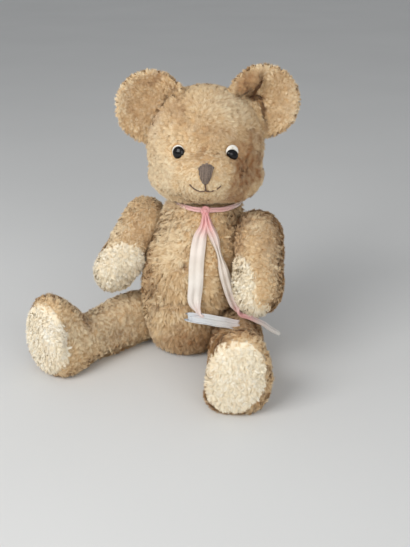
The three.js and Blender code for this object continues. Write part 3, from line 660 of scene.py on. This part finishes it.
# Ribbon's route: under the chin, down to the lap, and beside the left paw to the thigh
COLLAR_DROP = 1.5
KNOT_REACH = 35.0
SIDEWAYS = (math.cos(math.radians(HEAD_TURN)), math.sin(math.radians(HEAD_TURN)), 0)
FORWARD = (0.3, -1, 0)
TIPPED = (0.25, -0.8, -0.55)
KNOT = np.array(NECK) + (KNOT_REACH * SIDEWAYS[1], -KNOT_REACH * SIDEWAYS[0], -COLLAR_DROP)
lap_route = [KNOT, (26.5, -23, 134), (24, -27, 122), (23.5, -33, 103), (24.5, -38.5, 82), (25, -42.8, 67),
             (30, -45, 58.5), (33, -46.2, 55.3), (26, -47.6, 54.6), (21.5, -48.6, 54.2), (27, -49.6, 53.6),
             (40, -47.8, 52.8), (53, -43.5, 50.5), (66, -35, 46)]
thigh_route = [KNOT, (31, -21.5, 135), (37, -22.5, 123), (42, -24, 109), (47, -25, 93), (51.5, -24.5, 76),
               (57, -24, 61), (63, -24, 52.5), (71, -23, 50), (81, -20, 45), (90, -16, 38), (98, -11, 32)]


def under_ribbon(root):
    """1 where the ribbon presses the pile flat, else 0."""
    line = np.concatenate([smooth_line(np.array(lap_route), 40), smooth_line(np.array(thigh_route), 40)])
    finder = finder_of(line * MM)
    return smooth_step(0.013, 0.008, np.array([finder.find(p)[2] for p in root]))


# Torso
SIDE_LEAN, BACK_LEAN = 5.4, 5.5
TORSO_BLADES, TORSO_PILE_LENGTH = 164000, 6.8


def lean_at(z):
    return [z * math.tan(math.radians(SIDE_LEAN)), z * math.tan(math.radians(BACK_LEAN)), z]


def torso_length(root, out):
    return TORSO_PILE_LENGTH * (0.45 + 0.55 * thinning(root, out)) * (1 - 0.65 * under_ribbon(root))


torso = make_cover("torso_cover", "torso", ["torso"], [lean_at(z) for z in (28, 60, 90, 122)],
                   Matrix.Identity(4), rows=84, columns=96, lumps=0.7)
grow_pile("torso_pile", "torso", tan_pile, 1, torso.skin(), TORSO_BLADES, torso_length,
          down_flow, tangle=0.9, lean=0.75)


# Head
LEFT_JAW, RIGHT_JAW = 9.0, 7.0
HEAD_BLADES, HEAD_PILE_LENGTH, MUZZLE_PILE_CUT = 166000, 5.6, 2.2
FLOW_START = (0, -70, -8)
MUZZLE_MIDDLE = (0, -60, -16)
EYE_SPREAD, EYE_LIFT = 26, 4
EYE_BARE, MOUTH_BARE = 0.0074, 0.9
NOSE_MIDDLE, NOSE_BARE_HEIGHT = (0.7, -10.4), 8.2
FACE_FRONT = -40


def full_jaw(at):
    """Cheeks that stay wide down to the neck, the bear's left one more than its right."""
    way = unit(at)
    side = smooth_step(0.15, 0.6, np.abs(way[:, 0])) * np.where(at[:, 0] > 0, LEFT_JAW, RIGHT_JAW)
    side = side * smooth_step(-0.25, -0.62, way[:, 2]) * smooth_step(-0.97, -0.85, way[:, 2])
    return at + side[:, None] * unit(at * np.array([1, 1, 0]))


head = make_cover("head_cover", "head", ["head"], [(0, -6, -8), (0, -6, 6)], head_frame,
                  rows=80, columns=100, lumps=0.5, shape=full_jaw)


def head_flow(root, out):
    at = unplaced(head_frame, root)
    away = unit(at - np.array(FLOW_START))
    basis = np.array(head_frame)[:3, :3]
    return (away * 0.7 + np.array([0, 0.1, -0.6])) @ basis.T + 0.55 * swirl(root, 0.03, 41)


def eye_place(side):
    """Frame of an eye: on the head's front, facing straight out of it."""
    spread, lift = math.radians(EYE_SPREAD), math.radians(EYE_LIFT)
    size = Vector(HEAD_HALF_SIZE)
    gaze = Vector((side * math.sin(spread), -math.cos(spread), 0)) * math.cos(lift)
    gaze.z = math.sin(lift)
    at = gaze / Vector([g / s for g, s in zip(gaze, size)]).length
    facing = Vector([p / s / s for p, s in zip(at, size)]).normalized()
    return head_frame @ move(*at) @ Vector((0, 0, 1)).rotation_difference(facing).to_matrix().to_4x4()


eye_frames = {name: eye_place(side) for name, side in SIDES.items()}
MOUTH = {
    "centre": [(0, -18.5), (0.1, -21.5), (0, -25)],
    "left": [(0.6, -25), (4.5, -25.6), (9, -24), (13, -21)],
    "right": [(-0.6, -25), (-4.5, -25.4), (-9, -23.2), (-13, -19.6)],
}


def eye_distance(root):
    """Metres to the nearer eye."""
    eyes = [np.array(where.translation) for where in eye_frames.values()]
    return np.min([np.linalg.norm(root - eye, axis=1) for eye in eyes], axis=0)


def bare_face(root, out):
    """False under the eyes, the nose and the mouth, where no pile grows."""
    at = unplaced(head_frame, root)
    clear = eye_distance(root) > EYE_BARE
    front = at[:, 1] < FACE_FRONT
    nose_half = 6.2 - 2.2 * smooth_step(-9, -18, at[:, 2])
    nose_up = (at[:, 2] - NOSE_MIDDLE[1]) / NOSE_BARE_HEIGHT
    nose = np.hypot((at[:, 0] - NOSE_MIDDLE[0]) / nose_half, nose_up) < 1
    mouth = np.zeros(len(root), bool)
    for line in MOUTH.values():
        for spot in smooth_line(line, 12):
            mouth |= np.hypot(at[:, 0] - spot[0], at[:, 2] - spot[1]) < MOUTH_BARE
    return clear & ~(front & (nose | mouth))


def head_length(root, out):
    at = unplaced(head_frame, root)
    muzzle = smooth_step(42, 24, np.linalg.norm(at - np.array(MUZZLE_MIDDLE), axis=1))
    near_eye = smooth_step(0.006, 0.014, eye_distance(root))
    length = HEAD_PILE_LENGTH - MUZZLE_PILE_CUT * muzzle
    return length * (0.3 + 0.7 * thinning(root, out)) * (0.45 + 0.55 * near_eye)


grow_pile("head_pile", "head", tan_pile, 2, head.skin(), HEAD_BLADES, head_length, head_flow,
          keep=bare_face, tangle=0.5, lean=0.95)


# Arms and legs, with their pads
PAD_MARGIN = 0.1
PAD_PROUD, PAD_SUNK = 0.0007, 0.0012
PAD_PILE_LENGTH = 5.6
ARM_BLADES, ARM_PILE_LENGTH, PAW_BLADES = 66000, 4.8, 22000
LEG_BLADES, LEG_PILE_LENGTH, SOLE_BLADES = 86000, 5.4, 26000
PAW_END = 83
PAW_BEND = 7
PAW_FACING = 38
PAW_PAD = {"left": (18.5, -0.7), "right": (22, -4)}
PAW_PAD_RISE, PAW_PAD_HALF_LENGTH = 25, 29
SOLE_START = -105.5
SOLE_MIDDLE, SOLE_HALF_WIDTH, SOLE_HALF_LENGTH = -14, 24.5, 31


class PadArea:
    """Where a pad lies on its limb: its outline is below zero inside the seam and above zero outside."""

    def __init__(self, where, outline):
        self.where, self.outline = where, outline

    def place(self, points):
        return self.outline(unplaced(self.where, points))

    def holds(self, points):
        return self.place(points) + 0.05 * ripple(points, 0.005, 81) < 0

    def shortening(self, points):
        return 0.65 + 0.35 * smooth_step(0.02, 0.16, np.abs(self.place(points)))


def limb(name, pad_name, area, spine, count, length, seed, shape=None):
    cover = make_cover(f"{name}_cover", name, [name, pad_name], spine, area.where,
                       rows=84, columns=72, lumps=0.6, shape=shape)
    grow_pile(f"{name}_pile", name, tan_pile, seed, cover.skin(), count,
              lambda root, out: length(root, out) * area.shortening(root), along_flow(area.where),
              weight=lambda middles: np.where(area.holds(middles), 0.02, 1.0),
              keep=lambda root, out: ~area.holds(root), lean=1.0, tangle=0.8)
    return cover


def pad(name, pad_name, cover, area, count, seed, bake_axes):
    """A cream pad sewn over the end of a limb: its cloth with a thickness, and its pile."""
    at, out = cover.points(), cover.normals()
    quads = cover.faces()[0]
    patch = quads[area.place(at[quads].mean(1)) < PAD_MARGIN]
    used = np.unique(patch)
    remap = np.full(len(at), -1)
    remap[used] = np.arange(len(used))
    patch = remap[patch]
    outer = at[used] + out[used] * PAD_PROUD
    inner = at[used] - out[used] * PAD_SUNK
    edges = np.concatenate([patch[:, [k, (k + 1) % 4]] for k in range(4)])
    key = np.sort(edges, 1)
    _, first, times = np.unique(key[:, 0] * len(at) + key[:, 1], return_index=True, return_counts=True)
    rim = edges[first[times == 1]]
    size = len(used)
    walls = np.stack([rim[:, 1], rim[:, 0], rim[:, 0] + size, rim[:, 1] + size], -1)
    both = np.concatenate([outer, inner])
    facing = np.concatenate([out[used], out[used]])
    attributes = {"brown": patches(both, facing, BROWN_SPOTS) * 0.4, "pale": np.full(2 * size, 0.5)}
    span = unplaced(area.where, both)
    low, high = span.min(0), span.max(0)
    cells = 0.02 + 0.96 * ((span - low) / np.maximum(high - low, 1e-6))[:, bake_axes]
    piece = new_object(pad_name + "_cover", both, [np.concatenate([patch, patch[:, ::-1] + size, walls])],
                       cream_cloth, name, attributes, cells=cells)
    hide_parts(pad_name)
    skin = outer, out[used], np.concatenate([patch[:, [0, 1, 2]], patch[:, [0, 2, 3]]])
    grow_pile(pad_name + "_pile", name, cream_pile, seed, skin, count,
              lambda root, out: PAD_PILE_LENGTH * area.shortening(root), down_flow,
              keep=lambda root, out: area.holds(root), width=0.8, tangle=1.2, lean=0.9)


def arm_spine(side):
    return [(side * ARM_MIDDLE, -PAW_BEND * (min(z, 0) / PAW_END) ** 2, z) for z in (-64, -45, -25, 0, 3)]


def paw_outline(name, side):
    c, s = math.cos(math.radians(PAW_FACING)), math.sin(math.radians(PAW_FACING))
    half_wide, shift = PAW_PAD[name]

    def outline(at):
        x, y = at[:, 0] - side * ARM_MIDDLE, at[:, 1]
        across = c * x - side * s * y
        facing = -c * y - side * s * x
        up = at[:, 2] + PAW_END - PAW_PAD_RISE
        oval = np.hypot((across - shift) / half_wide, up / PAW_PAD_HALF_LENGTH) - 1
        return np.where(facing > 0, oval, 1.0)
    return outline


def slack_paw(at):
    """The right paw's tip, slacker on its inner side and shorter than it was stuffed."""
    inner = 4.5 * smooth_step(-2, 14, at[:, 0] + ARM_MIDDLE) * smooth_step(-35, -62, at[:, 2])
    short = 5.0 * smooth_step(-55, -84, at[:, 2])
    return at + np.stack([-inner, 0 * inner, short], -1)


def sole_outline(side):
    def outline(at):
        across, along = at[:, 0] - side * LEG_MIDDLE, at[:, 1] - SOLE_MIDDLE
        oval = np.hypot(across / SOLE_HALF_WIDTH, along / SOLE_HALF_LENGTH) - 1
        return np.where(at[:, 2] < SOLE_START, oval, 1.0)
    return outline


def leg_spine(side):
    line = ((-14, -104), (-13, -95), (-8, -80), (-1, -60), (0, -25), (0, 3))
    return [(side * LEG_MIDDLE, y, z) for y, z in line]


def arm_length(root, out):
    return np.full(len(root), ARM_PILE_LENGTH)


def leg_length(root, out):
    return LEG_PILE_LENGTH * (0.3 + 0.7 * thinning(root, out)) * (1 - 0.5 * under_ribbon(root))


for name, side in SIDES.items():
    arm, paw_pad = f"{name}_arm", f"{name}_paw_pad"
    paw = PadArea(arm_frame[name], paw_outline(name, side))
    cover = limb(arm, paw_pad, paw, arm_spine(side), ARM_BLADES, arm_length, 10 + side,
                 shape=slack_paw if name == "right" else None)
    pad(arm, paw_pad, cover, paw, PAW_BLADES, 60 + side, bake_axes=[0, 2])
    leg, sole_pad = f"{name}_leg", f"{name}_sole_pad"
    sole = PadArea(leg_frame[name], sole_outline(side))
    cover = limb(leg, sole_pad, sole, leg_spine(side), LEG_BLADES, leg_length, 20 + side)
    pad(leg, sole_pad, cover, sole, SOLE_BLADES, 70 + side, bake_axes=[0, 1])


# Ears
EAR_RADIUS = 32
EAR_HALF_THICK = 6.0
EAR_CUP = 10
EAR_INNER_CURL = 5.0
EAR_BACK = 6
EAR_PLACE = {"left": (52, 40), "right": (48, 35)}
EAR_BLADES, EAR_PILE_LENGTH = 50000, 4.6
EAR_ROOT_SIZE, EAR_ROOT_SHARE = (52.5, 53, 54), 0.97


def ear(name, side):
    rows, columns = 26, 64
    apart, up = EAR_PLACE[name]
    reach = np.concatenate([np.linspace(0.04, 1, rows), np.linspace(1, 0.04, rows)[1:]])
    face = np.concatenate([np.full(rows, -1.0), np.full(rows - 1, 1.0)])[:, None]
    angles = np.linspace(0, 2 * math.pi, columns, endpoint=False)
    r, angle = np.meshgrid(reach, angles, indexing="ij")
    thick = EAR_HALF_THICK * np.sqrt(np.clip(1 - r ** 2, 0, 1)) ** 0.8
    x, z = EAR_RADIUS * r * np.cos(angle), EAR_RADIUS * r * np.sin(angle)
    y = face * thick - EAR_CUP * r ** 2
    inner = -side * np.cos(angle) * np.where(z > 0, 1, 0.4)
    y = y - EAR_INNER_CURL * smooth_step(0.2, 1, r) * smooth_step(0.1, 0.9, inner)
    grid = np.stack([x + side * apart, y + EAR_BACK, z + up], -1)
    grid = placed(head_frame, grid.reshape(-1, 3)).reshape(grid.shape)
    cover = Cover(grid, [grid[0].mean(0), grid[-1].mean(0)])
    cover.relax(2)
    cover.grid = cover.grid[:, ::-1]
    centre = placed(head_frame, [[side * apart, EAR_BACK, up]])[0]
    cover.push(-MM * patches(cover.points(), cover.normals(), CREASES))
    cover.push(MM * patches(cover.points(), cover.normals(), FOLDS))
    sewn_cover(f"{name}_ear_cover", "head", cover, f"{name}_ear")

    def outside(root, out):
        share = unplaced(head_frame, root) / np.array(EAR_ROOT_SIZE)
        return np.linalg.norm(share, axis=1) > EAR_ROOT_SHARE

    def flow(root, out):
        return unit(root - centre) + 0.6 * swirl(root, 0.02, 51)

    grow_pile(f"{name}_ear_pile", "head", tan_pile, 30 + side, cover.skin(), EAR_BLADES,
              lambda root, out: np.full(len(root), EAR_PILE_LENGTH), flow,
              keep=outside, tangle=0.6, lean=0.8)


for name, side in SIDES.items():
    ear(name, side)


# Turned, drawn and woven pieces
def lathe(where, profile, columns=36):
    """Points and faces turned about a frame's Z from a profile whose two ends lie on the axis."""
    angles = np.linspace(0, 2 * math.pi, columns, endpoint=False)
    inner = np.array(profile[1:-1], float)
    rings = np.stack([inner[:, :1] * np.cos(angles), inner[:, :1] * np.sin(angles),
                      np.broadcast_to(inner[:, 1:], (len(inner), columns))], -1).reshape(-1, 3)
    points = placed(where, np.concatenate([rings, [[0, 0, profile[0][1]], [0, 0, profile[-1][1]]]]))
    return points, ring_faces(len(inner), columns)


def tube(path, radius, columns=8):
    """A round strand along a path in metres, closed at both ends."""
    path = np.asarray(path, float)
    along = unit(np.gradient(path, axis=0))
    side = unit(np.cross(along, np.array([0.31, 0.2, 0.93])))
    other = np.cross(along, side)
    angles = np.linspace(0, 2 * math.pi, columns, endpoint=False)[:, None]
    size = np.broadcast_to(np.asarray(radius, float).reshape(-1, 1, 1), (len(path), 1, 1))
    rings = path[:, None] + size * (np.cos(angles) * side[:, None] + np.sin(angles) * other[:, None])
    return np.concatenate([rings.reshape(-1, 3), path[:1], path[-1:]]), ring_faces(len(path), columns)


def joined(shapes):
    """Several shapes as one set of points and faces."""
    points, quads, triangles, start = [], [], [], 0
    for shape_points, (shape_quads, shape_triangles) in shapes:
        points.append(shape_points)
        quads.append(shape_quads + start)
        triangles.append(shape_triangles + start)
        start += len(shape_points)
    return np.concatenate(points), [np.concatenate(quads), np.concatenate(triangles)]


# Eyes
def plastic_material(name, main, marked, roughness):
    material, n, shader = surface(name, roughness, shine=0.3)
    n.link(n.mix(n.spread(n.noise(420, 4), 0.45, 0.75), main, marked), shader.inputs["Base Color"])
    n.link(n.spread(n.noise(900, 3), 0.4, 0.8, roughness, roughness + 0.12), shader.inputs["Roughness"])
    return material


eye_black = plastic_material("eye_black", srgb(14, 13, 14), srgb(30, 27, 26), 0.08)
eye_white = plastic_material("eye_white", srgb(240, 236, 226), srgb(206, 196, 178), 0.3)
EYE_WHITE_RADIUS, PUPIL_RADIUS = 6.1, 5.8
PUPIL_SET = {"left": (0.5, -2.3, 0.8), "right": (0.7, -1.1, 1.0)}
for name, where in eye_frames.items():
    arc = np.linspace(0, math.pi / 2, 9)
    white = [(EYE_WHITE_RADIUS * math.cos(a), 2.0 * math.sin(a) - 0.4) for a in arc[:-1]]
    points, faces = lathe(where, [(0, -2.0), (5.0, -2.0), (6.0, -1.2)] + white + [(0, 1.6)])
    piece = new_object(f"{name}_eye_disc", points, faces, eye_white, "head")
    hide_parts(f"{name}_eye_white")
    dome = [(PUPIL_RADIUS * math.cos(a), 0.7 + 3.6 * math.sin(a)) for a in arc[:-1]]
    across, up, oval = PUPIL_SET[name]
    points, faces = lathe(where @ move(across, up, 0) @ Matrix.Diagonal((1, oval, 1, 1)),
                          [(0, 0.2)] + dome + [(0, 4.3)])
    piece = new_object(f"{name}_pupil_dome", points, faces, eye_black, "head")
    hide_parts(f"{name}_eye_pupil")

# Nose and mouth, sewn over the muzzle
head_faces = [list(face) for part in head.faces() for face in part]
face_tree = BVHTree.FromPolygons([Vector(p) for p in head.points()], head_faces)


def on_face(across, up, proud):
    """A point on the front of the head, standing proud of it by some millimetres."""
    start = Vector(placed(head_frame, [[across, -140, up]])[0])
    way = head_frame.to_3x3() @ Vector((0, 1, 0))
    hit, normal = face_tree.ray_cast(start, way, 0.2)[:2]
    return np.array(hit + normal * proud * MM)


def thread_material(name, main, dark):
    material, n, shader = surface(name, 0.6, sheen=0.2, shine=0.4)
    fuzz = n.sum("MULTIPLY", n.spread(n.noise(900, 3), 0.35, 0.7), 0.4)
    worn = n.sum("ADD", fuzz, n.sum("MULTIPLY", n.value("tuft"), 0.6))
    n.link(n.mix(worn, dark, main), shader.inputs["Base Color"])
    return material


nose_thread = thread_material("nose_thread", srgb(140, 120, 104), srgb(58, 46, 39))
mouth_thread = thread_material("mouth_thread", srgb(126, 92, 66), srgb(88, 60, 42))
NOSE_TOP, NOSE_FOOT, NOSE_HALF, NOSE_SHIFT = -2.6, -18.6, 6.1, 1.2
NOSE_THREAD, NOSE_BASE_THREAD = 0.0006, 0.0011
MOUTH_THREAD = 0.0007
PLY_TURN = 0.0028


def nose_edge(across):
    """Lowest and highest place of the nose's outline at a distance from its middle."""
    share = min(abs(across) / NOSE_HALF, 1)
    return NOSE_FOOT + 12.5 * share ** 3, NOSE_TOP - 3.6 * share ** 2.6


draw = np.random.default_rng(5)
threads = []
for across in np.linspace(-NOSE_HALF * 0.97, NOSE_HALF * 0.97, 17):
    foot, top = nose_edge(across)
    foot, top = foot + draw.uniform(-0.5, 0.4), top + draw.uniform(-0.4, 0.5)
    lean = draw.uniform(-0.25, 0.25)
    path = []
    for t in np.linspace(0, 1, 12):
        place = NOSE_SHIFT * (1 - t) + across * (1 - 0.12 * t) + lean * t
        path.append(on_face(place, top + (foot - top) * t, 0.5 + 1.9 * math.sin(math.pi * t) ** 0.6))
    threads.append(tube(path, NOSE_THREAD, 7))
base = [tube([on_face(x + NOSE_SHIFT / 2, z, 0.6) for x in np.linspace(-half, half, 8)], NOSE_BASE_THREAD, 6)
        for z, half in ((-5, 5.0), (-7, 5.2), (-9, 5.0), (-11, 4.4), (-13, 3.4), (-15, 2.2), (-16.5, 1.2))]
points, faces = joined(threads + base)
tone = np.concatenate([draw.random(len(threads)), np.zeros(len(base))])
tones = np.repeat(tone, [len(shape[0]) for shape in threads + base])
piece = new_object("nose_threads", points, faces, nose_thread, "head", {"tuft": tones})
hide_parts("nose_stitching")


def yarn(line, thick):
    """Two plies twisted round a line of face places, in millimetres across and up."""
    middle = np.array([on_face(x, z, 1.1) for x, z in smooth_line(line, 26)])
    along = unit(np.gradient(middle, axis=0))
    side = unit(np.cross(along, np.array(head_frame)[:3, 1]))
    other = np.cross(along, side)
    steps = np.linalg.norm(np.diff(middle, axis=0), axis=1)
    run = np.concatenate([[0], np.cumsum(steps)]) / PLY_TURN * 2 * math.pi
    plies = []
    for phase in (0, math.pi):
        swing = np.cos(run + phase)[:, None] * side + np.sin(run + phase)[:, None] * other
        plies.append(tube(middle + swing * thick * 0.5, thick * 0.55, 6))
    return joined(plies)


for name, line in MOUTH.items():
    points, faces = yarn(line, MOUTH_THREAD)
    piece = new_object(f"mouth_yarn_{name}", points, faces, mouth_thread, "head")
    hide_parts(f"mouth_stitch_{name}")


# Ribbon
def ribbon_material():
    material, n, shader = surface("satin_ribbon", 0.42, sheen=0.25, shine=0.45)
    soft = n.spread(n.noise(90, 3), 0.3, 0.75)
    body = n.mix(n.sum("MULTIPLY", soft, 0.5), srgb(226, 219, 207), srgb(204, 194, 181))
    body = n.mix(n.value("pink"), body, srgb(230, 158, 158))
    body = n.mix(n.value("blue"), body, srgb(190, 198, 206))
    body = n.mix(n.sum("MULTIPLY", n.spread(n.noise(35, 4), 0.55, 0.8), 0.35), body, srgb(206, 190, 170))
    n.link(body, shader.inputs["Base Color"])
    weave = n.add("ShaderNodeTexWave", wave_type="BANDS", bands_direction="Y")
    weave.inputs["Scale"].default_value = 90
    n.link(n.add("ShaderNodeUVMap", uv_map="OFBake").outputs["UV"], weave.inputs["Vector"])
    n.link(n.bump(weave.outputs["Fac"], 0.15, 0.0003), shader.inputs["Normal"])
    return material


satin = ribbon_material()
RIBBON_WIDTH = 14.0
RIBBON_HALF_THICK = 0.25
KNOT_HALF = 2.8


def strip(name, route, across, widths, pink, blue):
    """A ribbon through points, gathered into pleats wherever it shows narrower than it is cut."""
    rows, columns = 110, 21
    middle = smooth_line(np.array(route) * MM, rows)
    side = unit(smooth_line(np.array(across, float), rows))
    width = smooth_line(np.array(widths, float), rows)
    along = unit(np.gradient(middle, axis=0))
    side = unit(side - along * np.sum(side * along, axis=1, keepdims=True))
    front = np.cross(side, along)
    s = np.linspace(-1, 1, columns)
    depth = np.sqrt(np.clip((RIBBON_WIDTH / 4) ** 2 - (width / 4) ** 2, 0, None))
    pleat = np.cos(2 * math.pi * s) * 0.9
    curl = 0.6 * np.sin(np.linspace(0, 9, rows))[:, None] * s ** 2
    lift = depth[:, None] * pleat[None] * 0.5 + curl
    sheet = (middle[:, None] + side[:, None] * (width[:, None] / 2 * s[None])[..., None] * MM
                + front[:, None] * lift[..., None] * MM)
    flat = sheet.reshape(-1, 3)
    sheet = sheet + front[:, None] * (0.35 * MM * ripple(flat, 0.008, 61)).reshape(rows, columns, 1)
    du, dv = np.gradient(sheet, axis=0), np.gradient(sheet, axis=1)
    out = unit(np.cross(dv, du))
    layers = [sheet + out * RIBBON_HALF_THICK * MM, sheet - out * RIBBON_HALF_THICK * MM]
    points = np.concatenate([layer.reshape(-1, 3) for layer in layers])
    index = np.arange(rows * columns).reshape(rows, columns)
    quads = np.stack([index[:-1, :-1], index[:-1, 1:], index[1:, 1:], index[1:, :-1]], -1).reshape(-1, 4)
    rim = np.concatenate([index[0, :], index[1:, -1], index[-1, -2::-1], index[-2:0:-1, 0]])
    nxt = np.roll(rim, -1)
    back = rows * columns
    walls = np.stack([nxt, rim, rim + back, nxt + back], -1)

    def tint(values):
        along_strip = np.interp(np.linspace(0, 1, rows), np.linspace(0, 1, len(values)), values)
        return np.tile(np.repeat(along_strip, columns), 2)

    cells = bake_cells(rows, columns, right=0.48)
    cells = np.concatenate([cells, cells + (0.5, 0)])
    piece = new_object(name, points, [np.concatenate([quads, quads[:, ::-1] + back, walls])], satin, "torso",
                       {"pink": tint(pink), "blue": tint(blue)}, cells=cells)
    length = np.linalg.norm(np.diff(middle, axis=0), axis=1).sum()
    return piece, length


lap_tail, lap_length = strip(
    "ribbon_lap_tail", lap_route, [SIDEWAYS] * 6 + [(0.8, -0.45, -0.1), (0.5, -0.7, -0.4)] + [TIPPED] * 6,
    [4, 7, 12.5, 13.5, 13.5, 12, 5.5, 5, 8, 10, 10.5, 11, 11, 10],
    [1, 0.7, 0.12, 0.05, 0.03, 0.06, 0.25, 0.3, 0.1, 0, 0, 0, 0.05, 0.2],
    [0, 0, 0, 0, 0.1, 0.1, 0.1, 0.2, 0.7, 0.8, 0.7, 0.6, 0.5, 0.3])
thigh_tail, thigh_length = strip(
    "ribbon_thigh_tail", thigh_route, [SIDEWAYS] * 7 + [FORWARD] * 5, [4, 7, 8, 4, 9, 9, 8, 7, 6, 5, 4, 3.5],
    [1, 0.7, 0.2, 0.05, 0.05, 0.05, 0.25, 0.85, 0.75, 0.2, 0.05, 0],
    [0, 0, 0, 0, 0, 0, 0, 0, 0, 0.2, 0.3, 0.3])


def collar():
    """The ribbon drawn into a twisted strand round the neck, and the knot that ties it."""
    rows, columns = 120, 36
    angles = np.linspace(0, 2 * math.pi, rows, endpoint=False)
    lobe = np.linspace(0, 2 * math.pi, columns, endpoint=False)
    r, a = np.meshgrid(angles, lobe, indexing="ij")
    thick = 1.35 + 0.78 * np.cos(6 * a + 9 * r) + 0.1 * np.sin(4 * r)
    shown = smooth_step(-0.5, 0.6, np.cos(r - math.radians(-20)))
    ring = 29.0 + 5.0 * shown + thick * np.cos(a)
    grid = np.stack([ring * np.cos(r) + NECK[0], ring * np.sin(r) + NECK[1],
                     NECK[2] - COLLAR_DROP + 0.5 * np.sin(3 * r) + 1.15 * thick * np.sin(a)], -1) * MM
    index = np.arange(rows * columns).reshape(rows, columns)
    up, side = np.roll(index, -1, 0), np.roll(index, -1, 1)
    quads = np.stack([index, up, np.roll(up, -1, 1), side], -1).reshape(-1, 4)
    near = smooth_step(0.05, 0.012, np.linalg.norm(grid.reshape(-1, 3) - KNOT * MM, axis=1))
    band = new_object("ribbon_collar", grid.reshape(-1, 3), [quads], satin, "torso",
                      {"pink": 0.06 + 0.6 * near, "blue": np.zeros(rows * columns)},
                      cells=bake_cells(rows, columns))
    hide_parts("neck_ribbon")
    wraps = []
    for k, (tilt, size) in enumerate(((25, 3.6), (-35, 3.3), (80, 3.0))):
        around = np.linspace(0, 2 * math.pi, 40)
        loop = np.stack([size * 0.75 * np.cos(around), np.zeros(40), size * np.sin(around)], -1)
        where = move(*KNOT) @ turn("Z", HEAD_TURN + 15 * k) @ turn("Y", tilt)
        wraps.append(tube(placed(where, loop), 0.0013 + 0.0003 * np.sin(3 * around), 8))
    core = np.linspace(-1, 1, 9)
    upright = placed(move(*KNOT) @ turn("Z", HEAD_TURN), np.stack([0 * core, 0 * core, KNOT_HALF * core], -1))
    wraps.append(tube(upright, KNOT_HALF * MM * np.sqrt(1.02 - core ** 2), 14))
    points, faces = joined(wraps)
    knot = new_object("ribbon_knot", points, faces, satin, "torso",
                      {"pink": np.full(len(points), 0.9), "blue": np.zeros(len(points))})


collar()

# Floor and light
floor_material, n, shader = surface("pale_floor", 0.8, shine=0.2)
n.link(n.mix(n.noise(3, 2), srgb(216, 216, 214), srgb(224, 224, 222)), shader.inputs["Base Color"])
bpy.ops.mesh.primitive_plane_add(size=8)
floor = bpy.context.object
floor.name = "floor"
floor.data.materials.append(floor_material)


def area_light(name, at, aim, size, power):
    light = bpy.data.objects.new(name, bpy.data.lights.new(name, "AREA"))
    bpy.context.scene.collection.objects.link(light)
    light.location = at
    light.rotation_mode = "QUATERNION"
    light.rotation_quaternion = (Vector(aim) - Vector(at)).to_track_quat("-Z", "Y")
    light.data.size = size
    light.data.energy = power


area_light("key", (-0.45, -1.15, 0.95), (0, 0, 0.12), 0.9, 15)
area_light("fill", (0.9, -1.1, 0.6), (0, 0, 0.12), 1.0, 7)
world = bpy.data.worlds.new("studio")
world.use_nodes = True
world.node_tree.nodes["Background"].inputs["Color"].default_value = (0.9, 0.92, 0.95, 1)
world.node_tree.nodes["Background"].inputs["Strength"].default_value = 0.42
bpy.context.scene.world = world
bpy.context.scene.view_settings.view_transform = "Standard"
